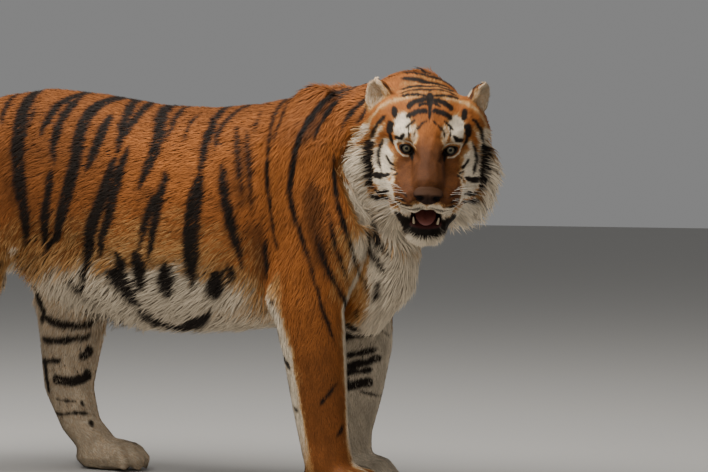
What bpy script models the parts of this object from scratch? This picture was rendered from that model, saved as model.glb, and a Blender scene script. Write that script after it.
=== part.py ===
"""A standing bengal tiger that looks round to its right, as life-size solids.

Metres. +X points from the tail to the breast, +Y to the tiger's left, +Z up from the floor.
The coat is part of every solid: each one reaches to the tips of the hair.

The tiger is modelled whole. Overlapping ellipsoids and the hulls drawn round them give the
masses of the body and the head, a voxel remesh makes them one skin, and smooth cutters then
part that skin into the pieces that a person would name.
"""

import math

import bmesh
import bpy
from mathutils import Matrix, Vector

# ---- driving dimensions -------------------------------------------------------------------
GAP = 0.0004  # room left between two pieces
VOXEL = 0.0045  # of the remesh that makes the masses one skin
ROUNDS = 90  # of smoothing, where the trunk takes it all
LEAST_SHARE = 0.13  # of that smoothing, on the legs and tail
FOOT_SHARE = 0.04
FOOT_TOP = 0.09
HEAD_SHARE = 0.20
TRUNK_FROM = (0.30, 0.50)  # heights between which that smoothing grows up the legs
TAIL_FROM = (-0.72, -0.62)  # and places along X between which it grows past the tail
TRIANGLES = 3800  # left on the skin before it is parted
HEAD_THINNING = 0.1  # how readily the head gives way then, where the body's is 1
SPARING = 0.02  # how strongly that is felt
HEAD_CENTRE = Vector((-0.07, 0, -0.03))  # of the whole head, in its own frame
HEAD_REACH = (0.21, 0.33)  # distances from there between which the finer skin fades out

FLOOR_HALF = (3, 3)  # of the cutter that flattens the soles
FLOOR_DEPTH = 1

SIDES = {"right": -1, "left": 1}  # which way along Y each side lies

EYE_MIDDLE = Vector((0.6854, -0.1223, 0.7820))  # half way between the eyeballs
EYE_SPACING = 0.096
EYE_RADIUS = 0.0185
LID = 0.0035  # thickness of the lids over the ball
EYE_OPENING = (0.025, 0.016, 0.0095)  # half depth, half width and half height
EYE_SLANT = math.radians(14)  # outer corner up
HEAD_TURN = math.radians(-63)  # to its right
HEAD_PITCH = math.radians(18)  # nose down
HEAD_ROLL = math.radians(-2.5)  # left cheek down

COLOURS = {  # colour, roughness
    "coat": ((0.62, 0.27, 0.07), 0.8),
    "nose_skin": ((0.30, 0.15, 0.11), 0.5),
    "eye": ((0.42, 0.36, 0.16), 0.1),
    "tongue": ((0.42, 0.15, 0.15), 0.4),
    "tooth": ((0.80, 0.74, 0.60), 0.3),
}

# ---- the body's masses --------------------------------------------------------------------
TRUNK_RADIUS = 0.055  # along X, of each of the trunk's masses
# Trunk: place along X, height of the back and of the belly, half width.
TRUNK = (
    (-0.655, 0.810, 0.670, 0.060),
    (-0.590, 0.872, 0.590, 0.110),
    (-0.490, 0.916, 0.500, 0.145),
    (-0.360, 0.930, 0.440, 0.155),
    (-0.210, 0.913, 0.400, 0.168),
    (-0.060, 0.888, 0.350, 0.188),
    (0.090, 0.880, 0.354, 0.198),
    (0.220, 0.890, 0.364, 0.190),
    (0.330, 0.910, 0.368, 0.165),
    (0.430, 0.915, 0.385, 0.135),
    (0.500, 0.890, 0.425, 0.105),
)
NECK = (  # centre, radii
    ((0.420, 0.000, 0.700), (0.090, 0.135, 0.224)),
    ((0.500, 0.005, 0.715), (0.070, 0.128, 0.222)),
    ((0.555, 0.030, 0.780), (0.062, 0.128, 0.176)),
    ((0.588, 0.055, 0.820), (0.080, 0.110, 0.142)),
)
BREAST = (
    ((0.462, 0.000, 0.430), (0.080, 0.078, 0.072)),
    ((0.518, 0.000, 0.505), (0.080, 0.092, 0.090)),
    ((0.535, 0.010, 0.620), (0.068, 0.095, 0.120)),
)
SHOULDER = (  # for one side, with Y measured outwards
    ((0.378, 0.052, 0.850), (0.080, 0.045, 0.085)),
    ((0.365, 0.108, 0.720), (0.120, 0.072, 0.140)),
    ((0.430, 0.122, 0.580), (0.105, 0.070, 0.110)),
    ((0.390, 0.138, 0.450), (0.098, 0.060, 0.090)),
)
FORE_LEG = {  # elbow, forearm, wrist and pastern, from the top down
    "right": (
        ((0.398, 0.142, 0.430), (0.088, 0.060, 0.080)),
        ((0.412, 0.137, 0.335), (0.077, 0.060, 0.060)),
        ((0.418, 0.124, 0.220), (0.068, 0.054, 0.050)),
        ((0.424, 0.113, 0.130), (0.060, 0.051, 0.040)),
        ((0.436, 0.110, 0.075), (0.058, 0.054, 0.040)),
    ),
    "left": (
        ((0.378, 0.142, 0.430), (0.088, 0.060, 0.080)),
        ((0.392, 0.137, 0.335), (0.077, 0.060, 0.060)),
        ((0.382, 0.124, 0.220), (0.068, 0.054, 0.050)),
        ((0.368, 0.113, 0.130), (0.059, 0.051, 0.040)),
        ((0.368, 0.110, 0.075), (0.058, 0.054, 0.040)),
    ),
}
HAUNCH = {  # the broad outer mass of the hip and thigh
    "right": (
        ((-0.500, 0.078, 0.745), (0.125, 0.080, 0.130)),
        ((-0.520, 0.108, 0.610), (0.128, 0.080, 0.120)),
        ((-0.520, 0.132, 0.470), (0.098, 0.066, 0.090)),
    ),
    "left": (
        ((-0.480, 0.078, 0.745), (0.125, 0.080, 0.130)),
        ((-0.440, 0.108, 0.610), (0.138, 0.080, 0.120)),
        ((-0.398, 0.132, 0.445), (0.115, 0.064, 0.090)),
    ),
}
HIND_LEG = {  # stifle, shank, hock and pastern, from the top down
    "right": (
        ((-0.520, 0.132, 0.470), (0.098, 0.066, 0.090)),
        ((-0.595, 0.140, 0.345), (0.073, 0.054, 0.060)),
        ((-0.682, 0.138, 0.232), (0.052, 0.042, 0.048)),
        ((-0.660, 0.136, 0.130), (0.042, 0.040, 0.040)),
        ((-0.628, 0.136, 0.065), (0.046, 0.046, 0.040)),
    ),
    "left": (
        ((-0.398, 0.132, 0.445), (0.115, 0.064, 0.090)),
        ((-0.410, 0.138, 0.320), (0.088, 0.054, 0.050)),
        ((-0.418, 0.137, 0.200), (0.068, 0.046, 0.045)),
        ((-0.385, 0.137, 0.110), (0.054, 0.042, 0.040)),
        ((-0.340, 0.137, 0.065), (0.050, 0.046, 0.038)),
    ),
}
PAWS = {  # heel's place along X, Y outwards, length, half width
    ("fore", "right"): (0.412, 0.108, 0.155, 0.068),
    ("fore", "left"): (0.342, 0.108, 0.155, 0.068),
    ("hind", "right"): (-0.648, 0.136, 0.150, 0.058),
    ("hind", "left"): (-0.345, 0.137, 0.150, 0.058),
}
PAD_HEIGHT = 0.036  # of the middle of the pads
PAW_PADS = (  # place, half length and half width as shares of the paw's, half height
    (0.00, 0.30, 0.76, 0.038),
    (0.46, 0.28, 0.84, 0.042),
)
TOE_WIDTH = 0.30  # half width of a toe, as a share of the paw's
TOE_JOINTS = (  # toe's half widths back from its tip, height, share of the spread, radii
    (3.60, 0.045, 0.8, (1.0, 0.9, 1.40)),
    (2.00, 0.040, 1.0, (1.1, 1.0, 1.70)),
    (1.05, 0.026, 1.0, (1.0, 1.0, 1.25)),
)
TOE_SPREAD = (-0.68, -0.25, 0.25, 0.68)  # of the half width
TOE_REACH = (0.84, 1.0, 1.0, 0.84)  # of the length

TAIL = (  # centre and radius
    ((-0.660, 0.000, 0.790), 0.062),
    ((-0.735, 0.000, 0.715), 0.055),
    ((-0.782, 0.004, 0.610), 0.050),
    ((-0.806, 0.010, 0.490), 0.047),
    ((-0.832, 0.018, 0.370), 0.045),
    ((-0.880, 0.028, 0.268), 0.044),
    ((-0.955, 0.038, 0.205), 0.043),
    ((-1.045, 0.046, 0.192), 0.041),
    ((-1.125, 0.052, 0.222), 0.038),
    ((-1.180, 0.056, 0.280), 0.031),
)

# ---- the head's masses, in its own frame ---------------------------------------------------
# +X to the nose, +Y to its left, origin between the eyes
HEAD_MIDDLE = {
    "cranium": (((-0.105, 0, 0.026), (0.105, 0.104, 0.086)),),
    "nape": (((-0.180, -0.026, 0.032), (0.085, 0.107, 0.094)),),
    "forehead": (
        ((-0.055, 0, 0.032), (0.068, 0.078, 0.062)),
        ((-0.010, 0, 0.024), (0.042, 0.044, 0.036)),
    ),
    "nose bridge": (
        ((-0.010, 0, 0.018), (0.042, 0.038, 0.034)),
        ((0.048, 0, -0.012), (0.040, 0.034, 0.034)),
        ((0.100, 0, -0.048), (0.028, 0.034, 0.028)),
    ),
    "upper jaw": (
        ((-0.020, 0, -0.055), (0.060, 0.078, 0.055)),
        ((0.074, 0, -0.074), (0.044, 0.050, 0.035)),
    ),
    "lower jaw": (
        ((-0.080, 0, -0.115), (0.070, 0.080, 0.055)),
        ((0.020, 0, -0.152), (0.055, 0.058, 0.036)),
        ((0.066, 0, -0.171), (0.034, 0.045, 0.030)),
    ),
    "throat": (
        ((-0.090, 0, -0.120), (0.080, 0.105, 0.085)),
        ((-0.190, 0, -0.070), (0.080, 0.110, 0.120)),
    ),
}
HEAD_PAIRS = {  # the same for one side, with Y measured outwards
    "whisker pad": (
        ((0.078, 0.034, -0.080), (0.047, 0.038, 0.032)),
        ((0.032, 0.052, -0.078), (0.048, 0.034, 0.038)),
    ),
    "lip": (
        ((0.066, 0.045, -0.122), (0.026, 0.015, 0.028)),
        ((0.010, 0.058, -0.122), (0.050, 0.022, 0.032)),
    ),
    "brow": (((-0.018, 0.048, 0.028), (0.034, 0.036, 0.024)),),
    "cheek bone": (
        ((-0.006, 0.054, -0.036), (0.036, 0.030, 0.030)),
        ((-0.065, 0.092, -0.035), (0.055, 0.038, 0.052)),
    ),
    "cheek": (((-0.030, 0.080, -0.078), (0.062, 0.042, 0.050)),),
    "temple": (((-0.095, 0.074, 0.020), (0.080, 0.057, 0.072)),),
    "ruff": (
        ((-0.115, 0.100, 0.015), (0.050, 0.036, 0.057)),
        ((-0.105, 0.128, -0.085), (0.056, 0.046, 0.070)),
        ((-0.085, 0.106, -0.142), (0.053, 0.050, 0.054)),
        ((-0.065, 0.066, -0.160), (0.050, 0.048, 0.046)),
    ),
}
HEAD_CUT = (  # masses that the cutter round the head takes in
    ((-0.095, -0.005, 0.020), (0.130, 0.180, 0.140)),
    ((-0.085, -0.005, -0.110), (0.125, 0.230, 0.150)),
    ((-0.110, 0.000, 0.105), (0.065, 0.190, 0.070)),
    ((0.075, 0.000, -0.110), (0.110, 0.120, 0.140)),
)
EAR = {
    "centre": (-0.118, 0.1085, 0.077),  # Y outwards
    "radii": (0.025, 0.039, 0.053),
    "hollow_centre": (0.025, 0.000, 0.004),  # from the ear's centre, in its own frame
    "hollow_radii": (0.030, 0.029, 0.044),
    "lean": math.radians(14),  # outwards
    "turn": {"right": math.radians(38), "left": math.radians(55)},  # outwards
}
MOUTH = (  # outline of the wedge between the jaws, along X and up
    (-0.010, -0.1210),
    (0.150, -0.1070),
    (0.150, -0.1680),
)
MOUTH_HALF_WIDTH = 0.032
JAW_LINE = ((-0.020, -0.1212), (0.160, -0.1300))  # the jaw's upper side, inside the wedge
TONGUE = (
    ((0.024, 0, -0.1234), (0.013, 0.018, 0.0030)),
    ((0.055, 0, -0.1318), (0.020, 0.022, 0.0042)),
    ((0.076, 0, -0.1384), (0.014, 0.019, 0.0042)),
)
TONGUE_VOXEL = 0.003
TONGUE_ROUNDS = 2
TONGUE_TRIANGLES = 140
CANINE = {
    "root": (0.079, 0.0255, -0.1445),
    "tip": (0.086, 0.0280, -0.1205),
    "radius": 0.0052,
    "waist": 0.75,  # of that radius, half way up
    "sides": 10,
}
NOSE = ((0.126, 0, -0.064), (0.016, 0.032, 0.020))  # centre and radii of the bare skin

# ---- where the skin is parted -------------------------------------------------------------
# Each cut: a point on it, the way that the piece lies from it, the cutter's half sizes in the
# upright plane and across Y, and its reach.
TAIL_JOINTS = (1, 3, 5, 7)  # which points of the tail its lengths start at
TAIL_CUT = (0.100, 0.090)
TAIL_CUT_REACH = 0.30
CUT_WIDE = (0.6, 0.4)  # right through the trunk
LIMB_CUTS = {
    ("forepaw", "right"): ((0.440, 0.110, 0.098), (0, 0, -1), (0.200, 0.100), 0.20),
    ("forepaw", "left"): ((0.400, 0.110, 0.098), (0, 0, -1), (0.200, 0.100), 0.20),
    ("foreleg", "right"): ((0.410, 0.140, 0.384), (0, 0, -1), (0.130, 0.076), 0.35),
    ("foreleg", "left"): ((0.385, 0.140, 0.384), (0, 0, -1), (0.130, 0.076), 0.35),
    ("hindpaw", "right"): ((-0.668, 0.137, 0.175), (0.20, 0, -1), (0.300, 0.085), 0.35),
    ("hindpaw", "left"): ((-0.405, 0.137, 0.150), (0.30, 0, -1), (0.300, 0.085), 0.35),
    ("shank", "right"): ((-0.565, 0.137, 0.395), (-0.55, 0, -0.83), (0.120, 0.085), 0.40),
    ("shank", "left"): ((-0.402, 0.136, 0.365), (-0.05, 0, -1), (0.150, 0.085), 0.40),
}
# Outlines of the shoulders and thighs, along X and up, which part them from the trunk.
SIDE_CUTS = {
    ("shoulder", "right"): (
        (0.29, 0.93), (0.46, 0.93), (0.55, 0.60), (0.52, 0.33), (0.30, 0.33), (0.23, 0.62)
    ),
    ("shoulder", "left"): (
        (0.29, 0.93), (0.46, 0.93), (0.55, 0.60), (0.50, 0.33), (0.28, 0.33), (0.23, 0.62)
    ),
    ("thigh", "right"): (
        (-0.60, 0.86), (-0.41, 0.86), (-0.38, 0.60), (-0.40, 0.34), (-0.70, 0.34), (-0.68, 0.60)
    ),
    ("thigh", "left"): (
        (-0.60, 0.86), (-0.38, 0.86), (-0.27, 0.60), (-0.26, 0.33), (-0.54, 0.33), (-0.62, 0.60)
    ),
}
SIDE_CUT_FROM = {"shoulder": 0.060, "thigh": 0.050}  # how far out from the middle they start
SIDE_CUT_TO = 0.40
TRUNK_CUTS = {
    "neck": ((0.475, 0, 0.800), (0.80, 0, 0.60), CUT_WIDE, 0.8),
    "chest": ((0.170, 0, 0.600), (1, 0, 0), CUT_WIDE, 0.8),
    "rump": ((-0.300, 0, 0.600), (-1, 0, 0), CUT_WIDE, 0.8),
}
EAR_MARGIN = 1.10  # how much wider the cutter is than the ear
JAW_DEEP = -0.30
JAW_HALF_WIDTH = 0.056


# ---- modelling tools ----------------------------------------------------------------------
def ball_points(steps):
    """The points of a unit sphere, which every ellipsoid is scaled from."""
    ball = bmesh.new()
    bmesh.ops.create_icosphere(ball, subdivisions=steps, radius=1)
    points = [vert.co.copy() for vert in ball.verts]
    ball.free()
    return points


FINE_BALL = ball_points(4)
COARSE_BALL = ball_points(2)
PLAIN_BALL = ball_points(1)  # for cutters, whose facets the skin hides


def ellipsoid(centre, radii, ball=COARSE_BALL):
    """The points of one ellipsoid."""
    place = Matrix.Translation(centre) @ Matrix.Diagonal((*radii, 1))
    return [place @ point for point in ball]


def across(masses, side):
    """The same masses on one side of the tiger."""
    return [((centre[0], side * centre[1], centre[2]), radii) for centre, radii in masses]


def add_hull(shape, points):
    """Adds the convex hull of these points to a bmesh, as a closed body."""
    part = bmesh.new()
    for point in points:
        part.verts.new(point)
    bmesh.ops.convex_hull(part, input=part.verts[:])
    inside = [vert for vert in part.verts if not vert.link_faces]
    bmesh.ops.delete(part, geom=inside, context="VERTS")
    bmesh.ops.recalc_face_normals(part, faces=part.faces[:])
    mesh = bpy.data.meshes.new("hull")
    part.to_mesh(mesh)
    part.free()
    shape.from_mesh(mesh)
    bpy.data.meshes.remove(mesh)


def add_chain(shape, masses, ball=FINE_BALL):
    """Adds a row of ellipsoids, each joined to the next by the hull round the two."""
    solids = [ellipsoid(centre, radii, ball) for centre, radii in masses]
    if len(solids) == 1:
        add_hull(shape, solids[0])
    for first, second in zip(solids, solids[1:]):
        add_hull(shape, first + second)


def object_of(shape, name):
    """Links a new object that holds the bmesh, and frees the bmesh."""
    mesh = bpy.data.meshes.new(name)
    shape.to_mesh(mesh)
    shape.free()
    obj = bpy.data.objects.new(name, mesh)
    bpy.context.scene.collection.objects.link(obj)
    return obj


def hull_object(points, name="cutter"):
    shape = bmesh.new()
    add_hull(shape, points)
    return object_of(shape, name)


def settle(obj):
    """Replaces an object's mesh by what its modifiers make of it."""
    bpy.context.view_layer.update()
    graph = bpy.context.evaluated_depsgraph_get()
    mesh = bpy.data.meshes.new_from_object(obj.evaluated_get(graph))
    obj.modifiers.clear()
    old, obj.data = obj.data, mesh
    bpy.data.meshes.remove(old)
    return obj


def remove(*objects):
    for obj in objects:
        bpy.data.objects.remove(obj)


def copy_of(obj, name):
    twin = bpy.data.objects.new(name, obj.data.copy())
    bpy.context.scene.collection.objects.link(twin)
    return twin


def weigh(obj, modifier, weight):
    """Lets a modifier work on each point by its weight."""
    group = obj.vertex_groups.new(name="weight")
    for vert in obj.data.vertices:
        group.add([vert.index], weight(vert.co), "REPLACE")
    modifier.vertex_group = group.name


def fuse(obj, voxel, rounds, share=None):
    """Makes overlapping bodies one skin and rounds their joints, by each point's share."""
    remesh = obj.modifiers.new("fuse", "REMESH")
    remesh.mode = "VOXEL"
    remesh.voxel_size = voxel
    settle(obj)
    smooth = obj.modifiers.new("round", "SMOOTH")
    smooth.factor = 0.5
    smooth.iterations = rounds
    if share:
        weigh(obj, smooth, share)
    settle(obj)
    obj.vertex_groups.clear()
    return obj


def thin_out(obj, triangles, weight=None):
    """Leaves about this many triangles on an object, most of them where the weight is low."""
    count = sum(len(face.vertices) - 2 for face in obj.data.polygons)
    thin = obj.modifiers.new("thin", "DECIMATE")
    thin.ratio = triangles / count
    thin.use_collapse_triangulate = True
    if weight:
        weigh(obj, thin, weight)
        thin.vertex_group_factor = SPARING
    settle(obj)
    obj.vertex_groups.clear()
    return obj


def boolean(obj, cutter, operation):
    change = obj.modifiers.new("boolean", "BOOLEAN")
    change.operation = operation
    change.solver = "EXACT"
    change.object = cutter
    return settle(obj)


def grown(obj, by):
    """A copy of an object, moved outwards along its normals."""
    twin = copy_of(obj, "grown")
    swell = twin.modifiers.new("swell", "DISPLACE")
    swell.strength = by
    swell.mid_level = 0
    return settle(twin)


def keep_largest(obj):
    """Drops every loose scrap but the largest body."""
    shape = bmesh.new()
    shape.from_mesh(obj.data)
    waiting = set(shape.verts)
    bodies = []
    while waiting:
        body = [waiting.pop()]
        for vert in body:
            for edge in vert.link_edges:
                other = edge.other_vert(vert)
                if other in waiting:
                    waiting.remove(other)
                    body.append(other)
        bodies.append(body)
    bodies.sort(key=len)
    scraps = [vert for body in bodies[:-1] for vert in body]
    bmesh.ops.delete(shape, geom=scraps, context="VERTS")
    shape.to_mesh(obj.data)
    shape.free()
    return obj


def carve(whole, name, cutter):
    """Parts the piece inside the cutter from the whole, with a gap all round it."""
    piece = keep_largest(boolean(copy_of(whole, name), cutter, "INTERSECT"))
    wide = grown(cutter, GAP)
    boolean(whole, wide, "DIFFERENCE")
    remove(cutter, wide)
    return piece


def block(point, way, half, reach):
    """A box that starts flat at a point and reaches the given way."""
    along = Vector(way).normalized()
    over = along.cross((0, 1, 0)).normalized()
    turn = Matrix((along, over.cross(along), over)).transposed().to_4x4()
    shape = bmesh.new()
    bmesh.ops.create_cube(shape, size=1)
    place = (
        Matrix.Translation(point)
        @ turn
        @ Matrix.Translation((reach / 2, 0, 0))
        @ Matrix.Diagonal((reach, 2 * half[1], 2 * half[0], 1))
    )
    bmesh.ops.transform(shape, matrix=place, verts=shape.verts)
    return object_of(shape, "cutter")


def prism(outline, near, far):
    """A prism between two places along Y, from an outline of (x, z) points."""
    return hull_object([Vector((x, y, z)) for x, z in outline for y in (near, far)])


# ---- the body -----------------------------------------------------------------------------
def add_paw(shape, heel, outwards, length, half):
    """A broad foot with a low heel and four toes."""
    pads = [
        ((heel + place * length, outwards, PAD_HEIGHT), (long * length, wide * half, high))
        for place, long, wide, high in PAW_PADS
    ]
    add_chain(shape, pads)
    toe = half * TOE_WIDTH
    for spread, reach in zip(TOE_SPREAD, TOE_REACH):
        front = heel + length * reach
        joints = [
            ((front - back * toe, outwards + spread * half * share, height), Vector(radii) * toe)
            for back, height, share, radii in TOE_JOINTS
        ]
        add_chain(shape, joints)


def ramp(value, low, high):
    """0 up to the low value, 1 from the high one."""
    return min(1, max(0, (value - low) / (high - low)))


def away_from_head(point):
    """0 on the head, 1 on the body."""
    near, far = HEAD_REACH
    distance = (point - head_frame() @ HEAD_CENTRE).length
    return ramp(distance, near, far)


def rounding(point):
    """How much of the smoothing a point takes: the trunk most, the head, tail and feet least."""
    if point.z < FOOT_TOP:
        return FOOT_SHARE
    trunk = ramp(point.z, *TRUNK_FROM) * ramp(point.x, *TAIL_FROM)
    share = LEAST_SHARE + (1 - LEAST_SHARE) * trunk
    return HEAD_SHARE + (share - HEAD_SHARE) * away_from_head(point)


def thinning(point):
    """How readily a point gives way when the skin is thinned."""
    return max(HEAD_THINNING, away_from_head(point))


def add_body(shape):
    """Adds every mass of the body and the limbs."""
    trunk = [
        ((x, 0, (back + belly) / 2), (TRUNK_RADIUS, half, (back - belly) / 2))
        for x, back, belly, half in TRUNK
    ]
    add_chain(shape, trunk)
    add_chain(shape, NECK)
    add_chain(shape, BREAST)
    add_chain(shape, [(centre, (radius,) * 3) for centre, radius in TAIL])
    for name, side in SIDES.items():
        for masses in (SHOULDER, FORE_LEG[name], HAUNCH[name], HIND_LEG[name]):
            add_chain(shape, across(masses, side))
        for end in ("fore", "hind"):
            heel, outwards, length, half = PAWS[end, name]
            add_paw(shape, heel, side * outwards, length, half)


def build_skin():
    """The whole tiger as one skin, standing on flat soles."""
    shape = bmesh.new()
    add_head(shape)
    bmesh.ops.transform(shape, matrix=head_frame(), verts=shape.verts)
    add_body(shape)
    skin = fuse(object_of(shape, "skin"), VOXEL, ROUNDS, rounding)
    thin_out(skin, TRIANGLES, thinning)
    floor = block((0, 0, 0), (0, 0, -1), FLOOR_HALF, FLOOR_DEPTH)
    boolean(skin, floor, "DIFFERENCE")
    remove(floor)
    return skin


def part_body(body):
    """Parts the body into tail, limbs and trunk, and returns the pieces."""
    pieces = []
    centres = [Vector(centre) for centre, radius in TAIL]
    for number, joint in reversed(list(enumerate(TAIL_JOINTS, 1))):
        way = centres[joint + 1] - centres[joint - 1]
        cutter = block(centres[joint], way, TAIL_CUT, TAIL_CUT_REACH)
        pieces.append(carve(body, f"tail_{number}", cutter))
    for (part, name), (point, way, half, reach) in LIMB_CUTS.items():
        place = (point[0], SIDES[name] * point[1], point[2])
        pieces.append(carve(body, f"{part}_{name}", block(place, way, half, reach)))
    for (part, name), outline in SIDE_CUTS.items():
        side = SIDES[name]
        cutter = prism(outline, side * SIDE_CUT_FROM[part], side * SIDE_CUT_TO)
        pieces.append(carve(body, f"{part}_{name}", cutter))
    for part, (point, way, half, reach) in TRUNK_CUTS.items():
        pieces.append(carve(body, part, block(point, way, half, reach)))
    body.name = "belly"
    keep_largest(body)
    return pieces + [body]


# ---- the head -----------------------------------------------------------------------------
def head_frame():
    turn = Matrix.Rotation(HEAD_TURN, 4, "Z")
    pitch = Matrix.Rotation(HEAD_PITCH, 4, "Y")
    roll = Matrix.Rotation(HEAD_ROLL, 4, "X")
    return Matrix.Translation(EYE_MIDDLE) @ turn @ pitch @ roll


def ear_place(name):
    side = SIDES[name]
    x, y, z = EAR["centre"]
    turn = Matrix.Rotation(side * EAR["turn"][name], 4, "Z")
    lean = Matrix.Rotation(-side * EAR["lean"], 4, "X")
    return Matrix.Translation((x, side * y, z)) @ lean @ turn


def placed_hull(place, points):
    return hull_object([place @ point for point in points])


def add_ear(shape, name):
    """A cupped ear, its hollow facing forwards and outwards."""
    ear = placed_hull(ear_place(name), ellipsoid((0, 0, 0), EAR["radii"], FINE_BALL))
    hollow = placed_hull(
        ear_place(name), ellipsoid(EAR["hollow_centre"], EAR["hollow_radii"], FINE_BALL)
    )
    boolean(ear, hollow, "DIFFERENCE")
    shape.from_mesh(ear.data)
    remove(ear, hollow)


def eye_centre(side):
    return Vector((0, side * EYE_SPACING / 2, 0))


def add_head(shape):
    """Adds every mass of the head, in its own frame, with its ears and ruff."""
    for masses in HEAD_MIDDLE.values():
        add_chain(shape, masses)
    for name, side in SIDES.items():
        for masses in HEAD_PAIRS.values():
            add_chain(shape, across(masses, side))
        add_chain(shape, [(eye_centre(side), (EYE_RADIUS + LID,) * 3)])
        add_ear(shape, name)


def head_cutter():
    """A plain closed shape round the head, whose back parts it from the neck."""
    points = [point for centre, radii in HEAD_CUT for point in ellipsoid(centre, radii, PLAIN_BALL)]
    return placed_hull(head_frame(), points)


def build_eye(head, name):
    """Sets one eyeball in its socket, behind an opening between the lids."""
    side = SIDES[name]
    centre = eye_centre(side)
    eye = hull_object(ellipsoid(centre, (EYE_RADIUS,) * 3), "eye_" + name)
    socket = hull_object(ellipsoid(centre, (EYE_RADIUS + GAP,) * 3))
    slant = Matrix.Rotation(side * EYE_SLANT, 4, "X")
    place = Matrix.Translation(centre + Vector((EYE_RADIUS, 0, 0))) @ slant
    opening = placed_hull(place, ellipsoid((0, 0, 0), EYE_OPENING))
    boolean(head, socket, "DIFFERENCE")
    boolean(head, opening, "DIFFERENCE")
    remove(socket, opening)
    return eye


def part_head(head):
    """Cuts the mouth and parts the head into skull, jaw, nose, ears, eyes and tongue."""
    pieces = [build_eye(head, name) for name in SIDES]
    mouth = prism(MOUTH, -MOUTH_HALF_WIDTH, MOUTH_HALF_WIDTH)
    boolean(head, mouth, "DIFFERENCE")
    remove(mouth)
    (back_x, back_z), (front_x, front_z) = JAW_LINE
    outline = ((back_x, back_z), (front_x, front_z), (front_x, JAW_DEEP), (back_x, JAW_DEEP))
    pieces.append(carve(head, "jaw", prism(outline, -JAW_HALF_WIDTH, JAW_HALF_WIDTH)))
    pieces.append(carve(head, "nose", hull_object(ellipsoid(*NOSE))))
    for name in SIDES:
        radii = Vector(EAR["radii"]) * EAR_MARGIN
        cutter = placed_hull(ear_place(name), ellipsoid((0, 0, 0), radii))
        pieces.append(carve(head, "ear_" + name, cutter))
    pieces.append(build_tongue())
    for name, side in SIDES.items():
        pieces.append(build_canine(name, side))
    keep_largest(head)
    return pieces + [head]


def build_tongue():
    """The tongue, which lies between the lower canines."""
    shape = bmesh.new()
    add_chain(shape, TONGUE, COARSE_BALL)
    tongue = fuse(object_of(shape, "tongue"), TONGUE_VOXEL, TONGUE_ROUNDS)
    return thin_out(tongue, TONGUE_TRIANGLES)


def build_canine(name, side):
    """A lower canine, which stands on the jaw beside the tongue."""
    root, tip = (across([(CANINE[end], None)], side)[0][0] for end in ("root", "tip"))
    waist = Vector(root).lerp(Vector(tip), 0.5)
    points = [Vector(tip)]
    for step in range(CANINE["sides"]):
        angle = math.tau * step / CANINE["sides"]
        ring = Vector((math.cos(angle), math.sin(angle), 0)) * CANINE["radius"]
        points.append(Vector(root) + ring)
        points.append(waist + ring * CANINE["waist"])
    return hull_object(points, "canine_" + name)


# ---- the whole tiger ----------------------------------------------------------------------
def paint(obj, colour_name):
    """Gives an object a material of its own."""
    colour, roughness = COLOURS[colour_name]
    material = bpy.data.materials.new(obj.name)
    material.use_nodes = True
    shader = material.node_tree.nodes["Principled BSDF"]
    shader.inputs["Base Color"].default_value = (*colour, 1)
    shader.inputs["Roughness"].default_value = roughness
    shader.inputs["Metallic"].default_value = 0
    obj.data.materials.clear()
    obj.data.materials.append(material)


def centre_on_floor(pieces):
    """Moves the tiger so that the middle of its box stands over the origin."""
    points = [vert.co for piece in pieces for vert in piece.data.vertices]
    low = Vector([min(point[axis] for point in points) for axis in range(3)])
    high = Vector([max(point[axis] for point in points) for axis in range(3)])
    shift = -(low + high) / 2
    shift.z = 0
    for piece in pieces:
        piece.data.transform(Matrix.Translation(shift))


def main():
    for obj in list(bpy.data.objects):
        bpy.data.objects.remove(obj)
    skin = build_skin()
    head = carve(skin, "head", head_cutter())
    head.data.transform(head_frame().inverted())
    head_pieces = part_head(head)
    for piece in head_pieces:
        piece.data.transform(head_frame())
    pieces = part_body(skin) + head_pieces
    centre_on_floor(pieces)
    own_colours = {"nose": "nose_skin", "tongue": "tongue", "eye": "eye", "canine": "tooth"}
    for piece in pieces:
        paint(piece, own_colours.get(piece.name.split("_")[0], "coat"))


main()
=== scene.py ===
import itertools
import math

import bmesh
import bpy
import numpy as np
from mathutils import Matrix, Vector
from mathutils.bvhtree import BVHTree


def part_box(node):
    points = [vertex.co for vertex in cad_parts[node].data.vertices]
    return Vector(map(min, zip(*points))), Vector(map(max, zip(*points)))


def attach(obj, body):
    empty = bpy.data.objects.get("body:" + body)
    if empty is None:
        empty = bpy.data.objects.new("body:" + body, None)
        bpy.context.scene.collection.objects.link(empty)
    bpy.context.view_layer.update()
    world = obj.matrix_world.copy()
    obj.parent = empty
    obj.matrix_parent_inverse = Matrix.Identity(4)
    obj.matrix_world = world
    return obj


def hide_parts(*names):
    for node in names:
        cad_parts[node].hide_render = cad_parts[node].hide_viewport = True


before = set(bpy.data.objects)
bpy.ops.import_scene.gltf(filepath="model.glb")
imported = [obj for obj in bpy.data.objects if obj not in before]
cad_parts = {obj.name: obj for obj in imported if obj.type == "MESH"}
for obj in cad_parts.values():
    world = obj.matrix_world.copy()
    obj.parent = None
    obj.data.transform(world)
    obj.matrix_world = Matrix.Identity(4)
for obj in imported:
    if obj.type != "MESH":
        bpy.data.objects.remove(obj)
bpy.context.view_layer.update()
sides = {"right": -1, "left": 1}  # which way along Y each side lies
print("frame loaded")


# arrays of points

def ramp(value, low, high):  # 0 up to low, 1 from high, soft at both ends
    share = np.clip((value - low) / (high - low), 0, 1)
    return share * share * (3 - 2 * share)


def fade(value, low, high):  # 1 up to low, 0 from high
    return 1 - ramp(value, low, high)


def lengthOf(vectors):
    return np.linalg.norm(vectors, axis=-1)


def unit(vectors):
    return vectors / np.maximum(lengthOf(vectors), 1e-9)[..., None]


def dotted(first, second):
    return (first * second).sum(axis=-1)


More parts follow.
